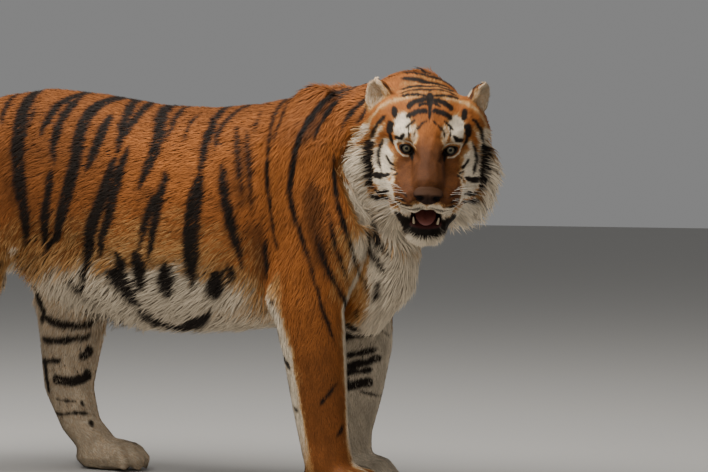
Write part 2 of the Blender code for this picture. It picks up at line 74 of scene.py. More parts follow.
def ripple(points, size, seed, waves=9):  # smooth noise from -1 to 1, in waves about size long
    rng = np.random.default_rng(seed)
    ways = unit(rng.normal(size=(waves, 3))) * (math.tau / size * rng.uniform(0.6, 1.5, (waves, 1)))
    total = np.sin(points @ ways.T + rng.uniform(0, math.tau, waves)).sum(axis=1)
    return np.clip(total / 4, -1, 1)


# the head's own frame: +X to the nose, +Y to its left, origin between the eyes

headPose = {"turn": -63, "pitch": 18, "roll": -2.5}  # degrees: to its right, nose down, left cheek down
eyePlan = {
    "out": 0.048,  # from the middle of the face
    "radius": 0.0185,
    "gaze": 16,  # degrees above the way the nose points
    "opening": (0.0136, 0.0086),  # half width and half height
    "power": 1.7,  # under 2 gives the opening its corners
    "rise": 0.0036,
    "slant": 17,  # degrees, outer corner up
    "lid": 0.0024,  # how far the lids stand off the ball
    "sunk": 0.004,  # how far the skin behind the opening lies inside the ball
    "reach": 2.3,  # how far the lids run into the face, in openings
}


def middleOf(node):
    low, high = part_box(node)
    return (low + high) / 2


headPlace = (
    Matrix.Translation((middleOf("eye_right") + middleOf("eye_left")) / 2)
    @ Matrix.Rotation(math.radians(headPose["turn"]), 4, "Z")
    @ Matrix.Rotation(math.radians(headPose["pitch"]), 4, "Y")
    @ Matrix.Rotation(math.radians(headPose["roll"]), 4, "X")
)
headAxes = np.array(headPlace.to_3x3())
headOrigin = np.array(headPlace.translation)


def toHead(points):
    return (points - headOrigin) @ headAxes


def fromHead(points):
    return points @ headAxes.T + headOrigin


# meshes

def link(mesh, name):
    piece = bpy.data.objects.new(name, mesh)
    bpy.context.scene.collection.objects.link(piece)
    return piece


def made(shape, name):  # a bmesh ended as a piece
    mesh = bpy.data.meshes.new(name)
    shape.to_mesh(mesh)
    shape.free()
    return link(mesh, name)


def settle(piece):  # replaces a mesh by what its modifiers make of it
    bpy.context.view_layer.update()
    graph = bpy.context.evaluated_depsgraph_get()
    mesh = bpy.data.meshes.new_from_object(piece.evaluated_get(graph))
    piece.modifiers.clear()
    piece.vertex_groups.clear()
    old, piece.data = piece.data, mesh
    bpy.data.meshes.remove(old)


def rows(items, field, width, kind=np.float32):  # one row of a mesh's own values for each item
    values = np.empty(len(items) * width, kind)
    items.foreach_get(field, values)
    return values.reshape(-1, width)


def pointsOf(mesh):
    return rows(mesh.vertices, "co", 3).astype(float)


def normalsOf(mesh):
    return rows(mesh.vertices, "normal", 3).astype(float)


def trianglesOf(mesh):
    mesh.calc_loop_triangles()
    return rows(mesh.loop_triangles, "vertices", 3, np.int32)


def movePoints(mesh, points):
    mesh.vertices.foreach_set("co", points.astype(np.float32).ravel())
    mesh.update()


def giveValues(mesh, fields):
    for name, values in fields.items():
        field = mesh.attributes.new(name, "FLOAT", "POINT")
        field.data.foreach_set("value", np.asarray(values, np.float32))


class Web:  # a mesh's edges, along which values are evened out

    def __init__(self, mesh):
        ends = rows(mesh.edges, "vertices", 2, np.int32)
        self.first, self.second = ends.T
        self.size = len(mesh.vertices)
        self.degree = np.maximum(np.bincount(ends.ravel(), minlength=self.size), 1)

    def around(self, column):
        total = np.bincount(self.first, column[self.second], self.size)
        return (total + np.bincount(self.second, column[self.first], self.size)) / self.degree

    def even(self, values, share, rounds=1):
        columns = values.reshape(self.size, -1)
        for step in range(rounds):
            mean = np.stack([self.around(column) for column in columns.T], axis=1)
            columns = columns + np.reshape(share, (-1, 1)) * (mean - columns)
        return columns.reshape(values.shape)

    def relax(self, values, share, rounds):  # evens without shrinking
        for step in range(rounds):
            values = self.even(values, 0.5 * share)
            values = self.even(values, -0.52 * share)
        return values


# the skin: the flesh nodes made one, evened, and drawn in by the coat's depth

skinPlan = {
    "voxel": 0.0035,
    "rounds": 60,  # of evening
    "legRounds": 50,  # more of it between the paws and the trunk
    "headShare": 0.30,  # how much of the evening each part takes, where the trunk takes it all
    "legShare": 0.60,
    "pawShare": 0.45,
    "legTop": (0.30, 0.50),
    "pawTop": (0.08, 0.16),
    "slimFrom": (0.03, 0.08),
    "slimTo": (0.36, 0.46),
    "headMiddle": (-0.07, 0, -0.03),
    "headReach": (0.21, 0.30),
    "triangles": 150000,
    "headWeight": 0.1,  # how readily the head is thinned, where the body's is 1
    "sparing": 0.02,  # how far the thinning follows those weights
}

separate = ("eye_right", "eye_left", "nose", "tongue", "canine_right", "canine_left")
fleshNodes = [name for name in sorted(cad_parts) if name not in separate]


def joined(names, title):  # one mesh from merged copies of CAD nodes
    shape = bmesh.new()
    for name in names:
        part = bmesh.new()
        part.from_mesh(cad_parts[name].data)
        bmesh.ops.remove_doubles(part, verts=part.verts, dist=0.00001)
        copy = bpy.data.meshes.new("copy")
        part.to_mesh(copy)
        part.free()
        shape.from_mesh(copy)
        bpy.data.meshes.remove(copy)
    return made(shape, title)


def headness(points):  # 1 on the head, 0 on the body
    return fade(lengthOf(toHead(points) - skinPlan["headMiddle"]), *skinPlan["headReach"])


def weigh(piece, modifier, weights, levels=20):
    group = piece.vertex_groups.new(name="weight")
    steps = np.round(weights * levels).astype(int)
    for step in np.unique(steps):
        group.add(np.flatnonzero(steps == step).tolist(), step / levels, "REPLACE")
    modifier.vertex_group = group.name


skin = joined(fleshNodes + ["eye_right", "eye_left", "nose"], "skin")
fuse = skin.modifiers.new("fuse", "REMESH")
fuse.mode = "VOXEL"
fuse.voxel_size = skinPlan["voxel"]
settle(skin)

web = Web(skin.data)
points = pointsOf(skin.data)
share = np.ones(len(points))
for part in ("leg", "paw"):
    least = skinPlan[part + "Share"]
    share *= least + (1 - least) * ramp(points[:, 2], *skinPlan[part + "Top"])
share += (skinPlan["headShare"] - share) * headness(points)
points = web.relax(points, share, skinPlan["rounds"])
slim = ramp(points[:, 2], *skinPlan["slimFrom"]) * fade(points[:, 2], *skinPlan["slimTo"])
slim *= 1 - headness(points)
points = web.even(points, 0.5 * slim, skinPlan["legRounds"])
movePoints(skin.data, points)

thin = skin.modifiers.new("thin", "DECIMATE")
thin.ratio = skinPlan["triangles"] / (2 * len(skin.data.polygons))
thin.use_collapse_triangulate = True
thin.vertex_group_factor = skinPlan["sparing"]
weigh(skin, thin, np.maximum(skinPlan["headWeight"], 1 - headness(pointsOf(skin.data))))
settle(skin)
print("skin fused:", len(skin.data.polygons), "triangles")


# finer skin where the face needs it

fineSpots = (  # centre in the head's frame, radius, cuts
    ((0.012, 0.048, 0.002), 0.024, 2),  # eyes
    ((0.118, 0.000, -0.072), 0.040, 1),  # nose
    ((0.095, 0.000, -0.125), 0.050, 1),  # mouth
)


def refine(piece):
    shape = bmesh.new()
    shape.from_mesh(piece.data)
    for centre, radius, cuts in fineSpots:
        for side in sides.values() if centre[1] else (1,):
            middle = headPlace @ Vector((centre[0], side * centre[1], centre[2]))
            for cut in range(cuts):
                reach = radius * (1.25 if cut == 0 else 1)
                near = [edge for edge in shape.edges if (edge.verts[0].co - middle).length < reach]
                bmesh.ops.subdivide_edges(shape, edges=near, cuts=1, use_grid_fill=True)
    bmesh.ops.triangulate(shape, faces=[face for face in shape.faces if len(face.verts) > 3])
    shape.to_mesh(piece.data)
    shape.free()


refine(skin)


# which part of the body each point of the skin belongs to

def partLabels(points):
    corners = []
    faces = []
    owners = []
    for number, node in enumerate(fleshNodes):
        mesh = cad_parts[node].data
        start = len(corners)
        corners.extend(vert.co.copy() for vert in mesh.vertices)
        faces.extend([start + index for index in face.vertices] for face in mesh.polygons)
        owners.extend([number] * len(mesh.polygons))
    tree = BVHTree.FromPolygons(corners, faces)
    return np.array([owners[tree.find_nearest(point)[2]] for point in points])


def isPart(labels, *names):  # 1 where the label is one of the nodes whose names start so
    wanted = [number for number, node in enumerate(fleshNodes) if node.startswith(names)]
    return np.isin(labels, wanted).astype(float)


web = Web(skin.data)
points = pointsOf(skin.data)
normals = normalsOf(skin.data)
labels = partLabels(points)
print("skin labelled:", len(points), "points")


# the coat's length, stand and width by part of the body

coatPlan = {  # length and width of a tuft in millimetres, degrees it stands up, the way it lies
    "head": (10, 1.5, 14, ()),
    "jaw": (14, 1.6, 20, ()),
    "ear": (7, 1.3, 12, ()),
    "neck": (30, 2.6, 14, (-0.85, 0, -0.45)),
    "chest": (23, 2.4, 12, (-0.85, 0, -0.40)),
    "belly": (22, 2.4, 12, (-1, 0, -0.28)),
    "rump": (22, 2.4, 12, (-1, 0, -0.40)),
    "shoulder": (24, 2.4, 11, (-0.45, 0, -0.90)),
    "thigh": (24, 2.4, 11, (-0.60, 0, -0.75)),
    "foreleg": (11, 1.9, 10, (-0.20, 0, -1)),
    "shank": (11, 1.9, 10, (-0.15, 0, -1)),
    "forepaw": (10, 1.8, 8, (0.9, 0, -0.5)),
    "hindpaw": (10, 1.8, 8, (0.9, 0, -0.5)),
    "tail": (26, 2.4, 15, ()),
}
zonePlan = {  # the same sizes where the coat is longer or shorter than round about
    "throat": (40, 2.6, 18),
    "ruff": (46, 2.4, 19),
    "breast": (40, 2.6, 16),
    "fringe": (52, 2.8, 22),
    "apron": (75, 3.2, 48),
    "muzzle": (5.5, 1.2, 12),
    "chin": (16, 1.8, 20),
    "eyes": (4.5, 1.0, 12),
}
depthPlan = {"most": 0.017, "long": (0.028, 0.040), "soles": (0.001, 0.03)}


def zones():  # how far each point of the skin belongs to each of those zones
    head = isPart(labels, "head", "jaw")
    trunk = isPart(labels, "belly", "chest", "rump", "thigh", "shoulder")
    local = toHead(points)
    x, y, z = local[:, 0], np.abs(local[:, 1]), local[:, 2]
    bodyX, bodyZ = points[:, 0], points[:, 2]
    jowl = ramp(y, 0.092, 0.135) * ramp(-z, -0.05, 0.02) * ramp(-x, -0.02, 0.03)
    low = ramp(-z, 0.125, 0.165) * ramp(-x, -0.05, 0.02) * ramp(y, 0.02, 0.06)
    throat = ramp(-z, 0.14, 0.20) * ramp(-x, 0.0, 0.05) * ramp(bodyX, 0.70, 0.76)
    breast = ramp(normals[:, 0], 0.2, 0.7) * ramp(bodyX, 0.60, 0.70)
    under = trunk * ramp(-normals[:, 2], 0.05, 0.55) * ramp(bodyZ, 0.30, 0.36)
    toNose = lengthOf(local - (0.115, 0, -0.07))
    toEye = lengthOf(np.stack((x, y - eyePlan["out"], z), axis=1))
    return {
        "throat": isPart(labels, "jaw", "head", "neck", "chest") * throat,
        "ruff": head * np.maximum(jowl, low),
        "breast": isPart(labels, "chest", "neck") * breast,
        "fringe": under * ramp(0.62 - bodyZ, 0.0, 0.12) * ramp(0.62 - bodyX, 0, 0.2),
        "apron": under * ramp(bodyX, -0.17, -0.11) * fade(bodyX, 0.05, 0.13),
        "muzzle": head * fade(toNose, 0.035, 0.13),
        "chin": head * ramp(-z, 0.150, 0.165) * ramp(x, 0.02, 0.05),
        "eyes": head * fade(toEye, 0.026, 0.06),
    }


def coatSizes():
    scale = np.array((1000, 1000, 1))
    sizes = np.zeros((len(points), 3))
    for part, (*size, way) in coatPlan.items():
        sizes[isPart(labels, part) > 0] = size / scale
    sizes = web.even(sizes, 0.6, 30)
    for zone, weight in zones().items():
        sizes += weight[:, None] * (zonePlan[zone] / scale - sizes)
    return web.even(sizes, 0.6, 8)


sizes = coatSizes()
depth = sizes[:, 0] * np.sin(np.radians(sizes[:, 2])) * (0.9 + 0.4 * ramp(sizes[:, 0], *depthPlan["long"]))
depth = np.minimum(depth, depthPlan["most"])
depth *= ramp(points[:, 2], *depthPlan["soles"])  # the soles stay on the floor
points -= normals * depth[:, None]
points[:, 2] = np.maximum(points[:, 2], 0)


# the face

faceForms = (  # centre, radii, shift in millimetres; made on both sides, with Y outwards
    ((16, 30, -6), (30, 12, 20), (-4, 0, 0)),  # by the tear duct
    ((12, 52, -24), (30, 22, 12), (-3, 0, 0)),  # under the eye
    ((4, 46, 26), (30, 26, 14), (4, 0, 0)),  # brow
    ((60, 40, -36), (55, 16, 36), (-1.5, 0, 0)),  # beside the bridge
    ((116, 26, -68), (22, 14, 16), (3, 1, 0)),  # wing of the nose
    ((102, 38, -92), (38, 28, 24), (8, 3, 0)),  # whisker pad
    ((108, 26, -110), (30, 26, 14), (7, 0, -3)),  # upper lip
    ((-12, 74, 4), (34, 24, 26), (0, 2, 0)),  # outer corner
    ((-50, 0, 80), (60, 14, 50), (-1, 0, -2)),  # furrow of the brow
    ((114, 0, -111), (34, 38, 18), (1, 0, -11)),  # middle of the lip
    ((124, 0, -94), (20, 4, 16), (-5, 0, 0)),  # split of the lip
    ((92, 0, -172), (34, 36, 22), (7, 0, 0)),  # chin
)
earPlan = {"base": (-0.115, 0.092, 0.050), "drawn": 0.10}  # hair stands up from the ears' edges


def mirrorOf(local):  # turns a place or a way on the left to each point's own side
    ones = np.ones(len(local))
    return np.stack((ones, np.sign(local[:, 1]), ones), axis=1)


def push(local, centre, radii, shift):
    for side in sides.values() if centre[1] else (1,):
        mirror = np.array((1, side, 1))
        offset = (local - centre * mirror) / radii
        fall = np.clip(1 - (offset ** 2).sum(axis=1), 0, 1) ** 2
        local += fall[:, None] * shift * mirror


def openness(local, side):  # distance from the middle of an eye's opening, in openings
    slant = math.radians(eyePlan["slant"])
    out = side * local[:, 1] - eyePlan["out"]
    up = local[:, 2] - eyePlan["rise"]
    across = out * math.cos(slant) + up * math.sin(slant)
    over = up * math.cos(slant) - out * math.sin(slant)
    wide, high = eyePlan["opening"]
    power = eyePlan["power"]
    return (np.abs(across / wide) ** power + np.abs(over / high) ** power) ** (1 / power)


def ballFront(radius, away):  # how far forward a ball reaches, the square of away off its middle
    return np.sqrt(np.maximum(radius ** 2 - away, 0.00004))


def setLids(local):
    for side in sides.values():
        place = openness(local, side)
        away = (local[:, 1] - side * eyePlan["out"]) ** 2 + local[:, 2] ** 2
        near = (local[:, 0] > -0.012) & (place < eyePlan["reach"])
        lid = fade(place, 1.15, eyePlan["reach"]) * near
        local[:, 0] += lid * (ballFront(eyePlan["radius"] + eyePlan["lid"], away) - local[:, 0])
        hole = fade(place, 0.88, 1.02) * near
        local[:, 0] += hole * (ballFront(eyePlan["radius"] - eyePlan["sunk"], away) - local[:, 0])


local = toHead(points)
earHold = web.even(isPart(labels, "ear"), 0.6, 10)
local += earPlan["drawn"] * earHold[:, None] * (earPlan["base"] * mirrorOf(local) - local)
for form in faceForms:
    push(local, *(np.array(part) / 1000 for part in form))
setLids(local)
onHead = headness(points) > 0
points[onHead] = fromHead(local)[onHead]
movePoints(skin.data, points)
skin.data.shade_smooth()
normals = normalsOf(skin.data)
print("face shaped")


# the markings: strokes laid on the skin

skinTree = BVHTree.FromPolygons([Vector(point) for point in points], trianglesOf(skin.data).tolist())
spineY = 0.0135  # the body's middle line
middleHeight = 0.66
halfWidth = 0.15


def nearestOn(point):
    return np.array(skinTree.find_nearest(Vector(point))[0])


def cast(start, way, fallback):
    hit = skinTree.ray_cast(Vector(start), Vector(way))[0]
    return np.array(hit) if hit else nearestOn(fallback)


# each of these gives the place on one side's skin for a spot

def wrapped(side):  # x, and degrees down from the spine round the middle line
    def place(x, degrees):
        down = math.radians(degrees)
        way = (0, side * math.sin(down), math.cos(down))
        return cast((x, spineY, middleHeight), way, (x, side * halfWidth, middleHeight))
    return place


def fromSide(side):  # x and z, seen from outside
    def place(x, z):
        return cast((x, side * 0.6, z), (0, -side, 0), (x, side * halfWidth, z))
    return place


def fromInside(side):  # x and z, seen from between the legs
    def place(x, z):
        return cast((x, spineY + side * 0.012, z), (0, side, 0), (x, side * 0.1, z))
    return place


def fromFront(side):  # y and z
    def place(y, z):
        return cast((0.80, y, z), (-1, 0, 0), (0.6, y, z))
    return place


def nearby(side):  # x, distance out from the middle line, and z
    def place(x, out, z):
        return nearestOn((x, spineY + side * out, z))
    return place


faceAhead = np.array((0.951, 0, 0.309))  # the way the face is seen, in the head's frame
faceUp = np.array((-0.309, 0, 0.951))


def onFace(side):  # millimetres out from the middle and up from the eyes, laid on from the front
    def place(out, up):
        spot = faceUp * up / 1000 + (0, side * out / 1000, 0)
        start = fromHead(spot + 0.30 * faceAhead)
        return cast(start, -faceAhead @ headAxes.T, fromHead(spot - 0.05 * faceAhead))
    return place


def onCrown(side):  # millimetres out from the middle and back from the eyes, laid on from above
    def place(out, back):
        spot = np.array((-back, side * out, 300)) / 1000
        return cast(fromHead(spot), -headAxes[:, 2], fromHead(spot - (0, 0, 0.2)))
    return place


def faceLens(points):  # depth from the front counts for little
    local = toHead(points)
    return np.stack((0.2 * local @ faceAhead, local[:, 1], local @ faceUp), axis=1)


def plain(points):
    return points


class Strokes:  # brush strokes on the skin, asked how deep inside them a point lies

    def __init__(self, soft, rough, wave, seed, lens=plain):
        self.soft = soft
        self.rough = rough
        self.wave = wave
        self.seed = seed
        self.lens = lens
        self.lines = []

    def add(self, place, spots, width, blunt=0.0, taper=0.35):
        stops = np.array([place(*spot) for spot in spots])
        along = np.concatenate(((0,), np.cumsum(lengthOf(np.diff(stops, axis=0)))))
        if along[-1] < 0.0005:
            return
        steps = np.linspace(0, along[-1], max(8, int(along[-1] / 0.012)))
        line = np.stack([np.interp(steps, along, stops[:, axis]) for axis in range(3)], axis=1)
        for step in range(max(1, len(steps) // 6)):
            line[1:-1] = (line[:-2] + 2 * line[1:-1] + line[2:]) / 4
        line = np.array([nearestOn(point) for point in line])
        share = np.linspace(0, 1, len(line))
        start = np.maximum(np.clip(share / (taper * 0.6), 0, 1), blunt)
        halves = width / 2 * (start * np.clip((1 - share) / taper, 0, 1)) ** 0.55
        self.lines.append((self.lens(line), halves))

    def at(self, points):  # 0 outside, 1 inside
        worst = np.ones(len(points))
        noise = ripple(points, self.wave, self.seed) + 0.5 * ripple(points, self.wave / 3, self.seed + 1)
        points = self.lens(points)
        for line, halves in self.lines:
            margin = halves.max() + self.soft + 2 * self.rough + 0.004
            inside = (points > line.min(axis=0) - margin) & (points < line.max(axis=0) + margin)
            near = np.flatnonzero(inside.all(axis=1))
            spot = points[near]
            best = np.ones(len(near))
            for first, second, wide, narrow in zip(line[:-1], line[1:], halves[:-1], halves[1:]):
                edge = second - first
                share = np.clip((spot - first) @ edge / max(float(edge @ edge), 1e-12), 0, 1)
                away = lengthOf(spot - first - share[:, None] * edge)
                best = np.minimum(best, away - wide - share * (narrow - wide))
            worst[near] = np.minimum(worst[near], best)
        return 1 - ramp(worst + self.rough * noise, -self.soft, self.soft)


# stripes: the points that each passes through, then its width

trunkStripes = (  # wrapped
    ((-0.435, 0), (-0.460, 20), (-0.480, 45), 0.018),
    ((-0.375, 0), (-0.395, 22), (-0.405, 50), 0.022),
    ((-0.310, 0), (-0.325, 18), (-0.330, 45), 0.024),
    ((-0.240, 0), (-0.244, 12), (-0.237, 24), (-0.228, 33), 0.014),
    ((-0.270, 30), (-0.262, 50), (-0.250, 70), 0.018),
    (
        (-0.185, 0), (-0.182, 18), (-0.175, 35), (-0.164, 53), (-0.151, 76), (-0.136, 107),
        (-0.169, 138), 0.030,
    ),
    ((-0.150, 20), (-0.148, 32), (-0.151, 42), 0.010),
    ((-0.050, 0), (-0.060, 8), (-0.093, 20), (-0.105, 34), (-0.112, 42), 0.020),
    ((-0.045, 8), (-0.064, 30), (-0.066, 45), (-0.055, 61), 0.020),
    ((-0.060, 62), (-0.068, 87), (-0.086, 114), (-0.106, 133), 0.020),
    (
        (0.045, 0), (0.033, 9), (0.005, 20), (-0.001, 35), (0.006, 58), (-0.008, 82),
        (-0.046, 117), (-0.109, 139), 0.028,
    ),
    ((0.062, 22), (0.061, 38), (0.050, 55), (0.037, 68), 0.022),
    ((0.080, 0), (0.095, 14), (0.112, 36), (0.110, 51), 0.020),
    ((0.120, 0), (0.135, 22), (0.121, 38), (0.115, 56), 0.018),
    ((0.114, 53), (0.105, 75), (0.075, 100), (0.045, 118), (0.028, 135), (0.000, 157), 0.026),
    ((0.143, 47), (0.132, 75), (0.113, 103), (0.083, 119), (0.060, 134), 0.022),
    ((0.175, 0), (0.189, 18), (0.213, 36), (0.221, 54), (0.206, 68), (0.188, 83), 0.026),
    ((0.225, 0), (0.233, 20), (0.245, 45), 0.014),
    ((0.286, 16), (0.282, 33), (0.290, 46), 0.009),
    ((0.253, 81), (0.229, 92), (0.209, 108), (0.190, 124), 0.017),
    ((0.263, 64), (0.258, 83), (0.240, 107), (0.214, 129), 0.019),
    ((0.130, 124), (0.126, 139), (0.142, 152), 0.030),
    ((0.184, 122), (0.181, 135), (0.172, 148), 0.030),
    ((0.262, 130), (0.243, 141), (0.238, 150), 0.034),
    ((0.335, 0), (0.343, 20), (0.350, 52), (0.355, 78), 0.019),
    ((0.355, 66), (0.343, 98), (0.334, 120), (0.310, 145), 0.032),
    ((0.395, 0), (0.385, 19), (0.370, 34), (0.374, 46), (0.380, 58), 0.014),
    ((0.410, 32), (0.428, 44), (0.438, 56), (0.453, 68), (0.462, 84), 0.011),
    ((0.402, 60), (0.418, 79), (0.435, 103), (0.451, 120), (0.452, 136), 0.020),
    ((0.439, 33), (0.453, 44), (0.472, 58), (0.475, 69), (0.484, 84), (0.485, 98), 0.010),
    ((0.456, 19), (0.459, 29), (0.467, 40), 0.008),
    (
        (0.495, 0), (0.500, 30), (0.524, 47), (0.523, 60), (0.520, 73), (0.531, 87), (0.532, 102),
        (0.537, 116), (0.552, 126), 0.011,
    ),
    ((0.520, 0), (0.521, 14), (0.531, 29), (0.537, 42), (0.533, 51), 0.011),
    ((0.512, 116), (0.514, 128), (0.510, 140), 0.013),
    (
        (0.655, 0), (0.637, 11), (0.613, 27), (0.599, 44), (0.592, 58), (0.586, 74), (0.584, 84),
        (0.593, 94), (0.616, 110), (0.640, 123), (0.654, 135), (0.660, 138), 0.0135,
    ),
    ((0.676, 0), (0.658, 9), (0.648, 18), (0.638, 27), (0.631, 39), (0.630, 48), 0.010),
    ((0.730, 8), (0.715, 16), (0.695, 21), (0.684, 26), (0.675, 34), 0.013),
    ((0.728, 18), (0.722, 24), (0.708, 28), 0.010),
    ((0.672, 90), (0.683, 101), (0.694, 113), (0.701, 122), (0.707, 130), (0.711, 137), (0.709, 144), 0.009),
    ((0.651, 107), (0.661, 115), (0.670, 122), (0.680, 128), (0.687, 133), (0.700, 145), 0.012),
    ((0.740, 113), (0.743, 125), (0.748, 137), (0.760, 145), (0.772, 153), 0.013),
    ((0.392, 135), (0.370, 144), (0.350, 150), 0.034),
    ((0.423, 130), (0.414, 142), 0.017),
    ((0.140, 157), (0.175, 168), (0.215, 174), (0.275, 167), (0.340, 158), 0.034),
    ((0.085, 139), (0.128, 148), (0.160, 156), 0.034),
    ((-0.060, 150), (-0.020, 158), (0.030, 168), 0.016),
)
napeStripes = (  # on the left, where the neck is bent open
    ((0.745, 25), (0.757, 52), (0.764, 84), 0.014),
    ((0.785, 22), (0.794, 50), (0.802, 86), 0.012),
)
brownStripes = (  # soft brown, between pairs of stripes
    ((-0.170, 40), (-0.158, 76), (-0.150, 107), 0.050),
    ((0.130, 55), (0.110, 90), (0.070, 122), 0.030),
    ((0.258, 75), (0.236, 100), (0.206, 124), 0.032),
    ((0.455, 40), (0.470, 80), (0.470, 110), 0.030),
    ((0.640, 70), (0.655, 100), (0.680, 128), 0.050),
    ((0.500, 100), (0.505, 120), (0.505, 138), 0.040),
    ((0.645, 8), (0.625, 27), (0.614, 52), 0.030),
)
shoulderStripes = (
    (
        (0.673, 0.137, 0.780), (0.679, 0.148, 0.747), (0.686, 0.157, 0.703), (0.694, 0.163, 0.670),
        (0.703, 0.167, 0.641), (0.715, 0.166, 0.615), (0.723, 0.166, 0.586), (0.727, 0.158, 0.560),
        (0.730, 0.145, 0.531), (0.726, 0.105, 0.502), (0.728, 0.087, 0.475), (0.733, 0.077, 0.450), 0.012,
    ),
)
thighStripes = (
    ((-0.30, 0.79), (-0.26, 0.70), (-0.21, 0.58), 0.022),
    ((-0.36, 0.76), (-0.31, 0.66), (-0.25, 0.54), 0.026),
    ((-0.42, 0.72), (-0.38, 0.61), (-0.31, 0.50), 0.024),
    ((-0.46, 0.64), (-0.43, 0.55), (-0.37, 0.46), 0.020),
    ((-0.49, 0.80), (-0.50, 0.70), (-0.48, 0.62), 0.016),
    ((-0.21, 0.52), (-0.23, 0.47), (-0.28, 0.43), 0.018),
)
shankStripes = {  # the right leg is back, the left leg forward
    "right": (
        ((-0.50, 0.41), (-0.44, 0.39), (-0.37, 0.41), 0.018),
        ((-0.51, 0.34), (-0.46, 0.31), (-0.40, 0.33), 0.016),
        ((-0.50, 0.26), (-0.45, 0.24), (-0.41, 0.26), 0.014),
        ((-0.49, 0.20), (-0.45, 0.19), (-0.42, 0.20), 0.008),
    ),
    "left": (
        ((-0.30, 0.39), (-0.22, 0.36), (-0.13, 0.38), 0.018),
        ((-0.29, 0.32), (-0.22, 0.30), (-0.14, 0.32), 0.016),
        ((-0.27, 0.24), (-0.20, 0.22), (-0.13, 0.24), 0.014),
        ((-0.25, 0.17), (-0.20, 0.16), (-0.14, 0.17), 0.008),
    ),
}
innerStripes = (  # the left hind leg's inner side
    ((-0.273, 0.461), (-0.264, 0.412), (-0.237, 0.382), 0.018),
    ((-0.252, 0.375), (-0.206, 0.356), (-0.152, 0.351), (-0.118, 0.357), (-0.096, 0.368), 0.016),
    ((-0.262, 0.315), (-0.210, 0.312), (-0.155, 0.320), (-0.118, 0.330), 0.014),
    ((-0.147, 0.274), (-0.132, 0.283), (-0.108, 0.294), 0.017),
    ((-0.269, 0.257), (-0.228, 0.263), (-0.190, 0.267), 0.011),
    ((-0.252, 0.258), (-0.246, 0.216), (-0.238, 0.178), 0.014),
    ((-0.226, 0.220), (-0.185, 0.214), (-0.156, 0.216), (-0.137, 0.228), (-0.118, 0.240), 0.019),
    ((-0.225, 0.172), (-0.190, 0.166), (-0.160, 0.165), 0.005),
    ((-0.150, 0.165), (-0.130, 0.158), 0.008),
    ((-0.231, 0.135), (-0.187, 0.133), (-0.154, 0.140), (-0.126, 0.130), 0.007),
    ((-0.128, 0.116), (-0.120, 0.104), 0.010),
)
forelegStripes = (
    ((0.654, 0.493), (0.665, 0.438), (0.679, 0.389), (0.697, 0.349), 0.009),
    ((0.690, 0.493), (0.697, 0.443), (0.695, 0.400), 0.014),
    ((0.556, 0.318), (0.572, 0.307), (0.586, 0.294), 0.020),
    ((0.583, 0.206), (0.600, 0.198), 0.012),
    ((0.532, 0.442), (0.550, 0.438), 0.011),
    ((0.690, 0.266), (0.669, 0.233), (0.652, 0.211), 0.008),
    ((0.692, 0.168), (0.681, 0.138), 0.008),
)
bandStripes = (  # the forelegs' inner sides
    ((0.575, 0.345), (0.610, 0.354), (0.650, 0.362), (0.690, 0.375), 0.017),
    ((0.575, 0.300), (0.608, 0.308), (0.639, 0.314), (0.665, 0.325), 0.011),
    ((0.575, 0.276), (0.608, 0.282), (0.639, 0.291), (0.668, 0.303), 0.015),
    ((0.575, 0.262), (0.609, 0.267), (0.655, 0.276), 0.011),
    ((0.575, 0.232), (0.609, 0.237), (0.634, 0.243), (0.668, 0.247), 0.018),
)
breastStripes = (
    ((-0.100, 0.61), (-0.080, 0.56), (-0.055, 0.50), 0.015),
    ((-0.066, 0.49), (-0.060, 0.468), (-0.052, 0.44), 0.011),
    ((0.110, 0.62), (0.090, 0.56), (0.060, 0.50), 0.022),
    ((0.160, 0.50), (0.110, 0.45), (0.060, 0.40), 0.014),
    ((0.095, 0.358), (0.020, 0.368), (-0.050, 0.385), 0.026),
    ((-0.150, 0.47), (-0.110, 0.43), (-0.060, 0.405), 0.012),
)
faceStripes = (
    ((91, 74), (105, 58), (117, 35), (124, 12), 9),
    ((123, 18), (128, -12), (128, -40), (123, -68), (122, -92), 27),
    ((127, -86), (108, -93), (80, -95), 10),
    ((124, -106), (106, -114), (79, -110), 12),
    ((97, 21), (107, -4), (107, -29), (100, -54), 8),
    ((114, -61), (97, -65), (79, -57), 14),
    ((91, -16), (84, -30), (73, -40), 6),
    ((80, -45), (68, -51), 5),
    ((75, -62), (64, -55), 4),
    ((77, 87), (75, 67), 13),
    ((84, 54), (86, 33), 16),
    ((83, 34), (82, 17), (73, 5), 7),
    ((74, 24), (63, 19), (52, 31), 10),
    ((50, 65), (39, 75), (22, 81), (2, 82), 13),
    ((54, 42), (43, 53), (29, 63), 6),
    ((25, 51), (30, 40), (34, 25), 3),
    ((44, 54), (46, 38), (44, 20), 3.5),
    ((50, 85), (41, 97), (24, 105), (2, 108), 13),
    ((25, 92), (4, 101), 7),
    ((4, 63), (19, 52), (27, 38), 5),
    ((66, 113), (44, 117), (20, 119), (1, 112), 7),
    ((64, -92), (54, -98), (43, -106), 3.5),
    ((69, -103), (57, -110), (45, -116), 3.5),
    ((70, -112), (53, -121), (33, -123), 5),
    ((43, 0), (37, -14), (34, -27), 8),
)
crownStripes = (
    ((1, 86), (22, 95), (45, 99), (64, 100), 13),
    ((1, 111), (24, 118), (46, 122), (64, 125), 16),
    ((1, 137), (24, 144), (46, 149), (62, 154), 16),
    ((1, 163), (22, 170), (44, 176), (60, 183), 15),
    ((1, 189), (20, 196), (40, 203), (56, 212), 13),
)
browStripes = (  # in the middle, not mirrored
    ((0, 122), (0, 108), (0, 88), 20),
    ((0, 120), (0, 90), (-1, 58), 10),
)
goldStripes = (  # between the dark ones
    ((10, 114), (37, 110), (56, 107), (85, 98), (110, 77), (126, 55), (140, 28), 9),
    ((100, 60), (112, 36), (118, 8), 8),
)
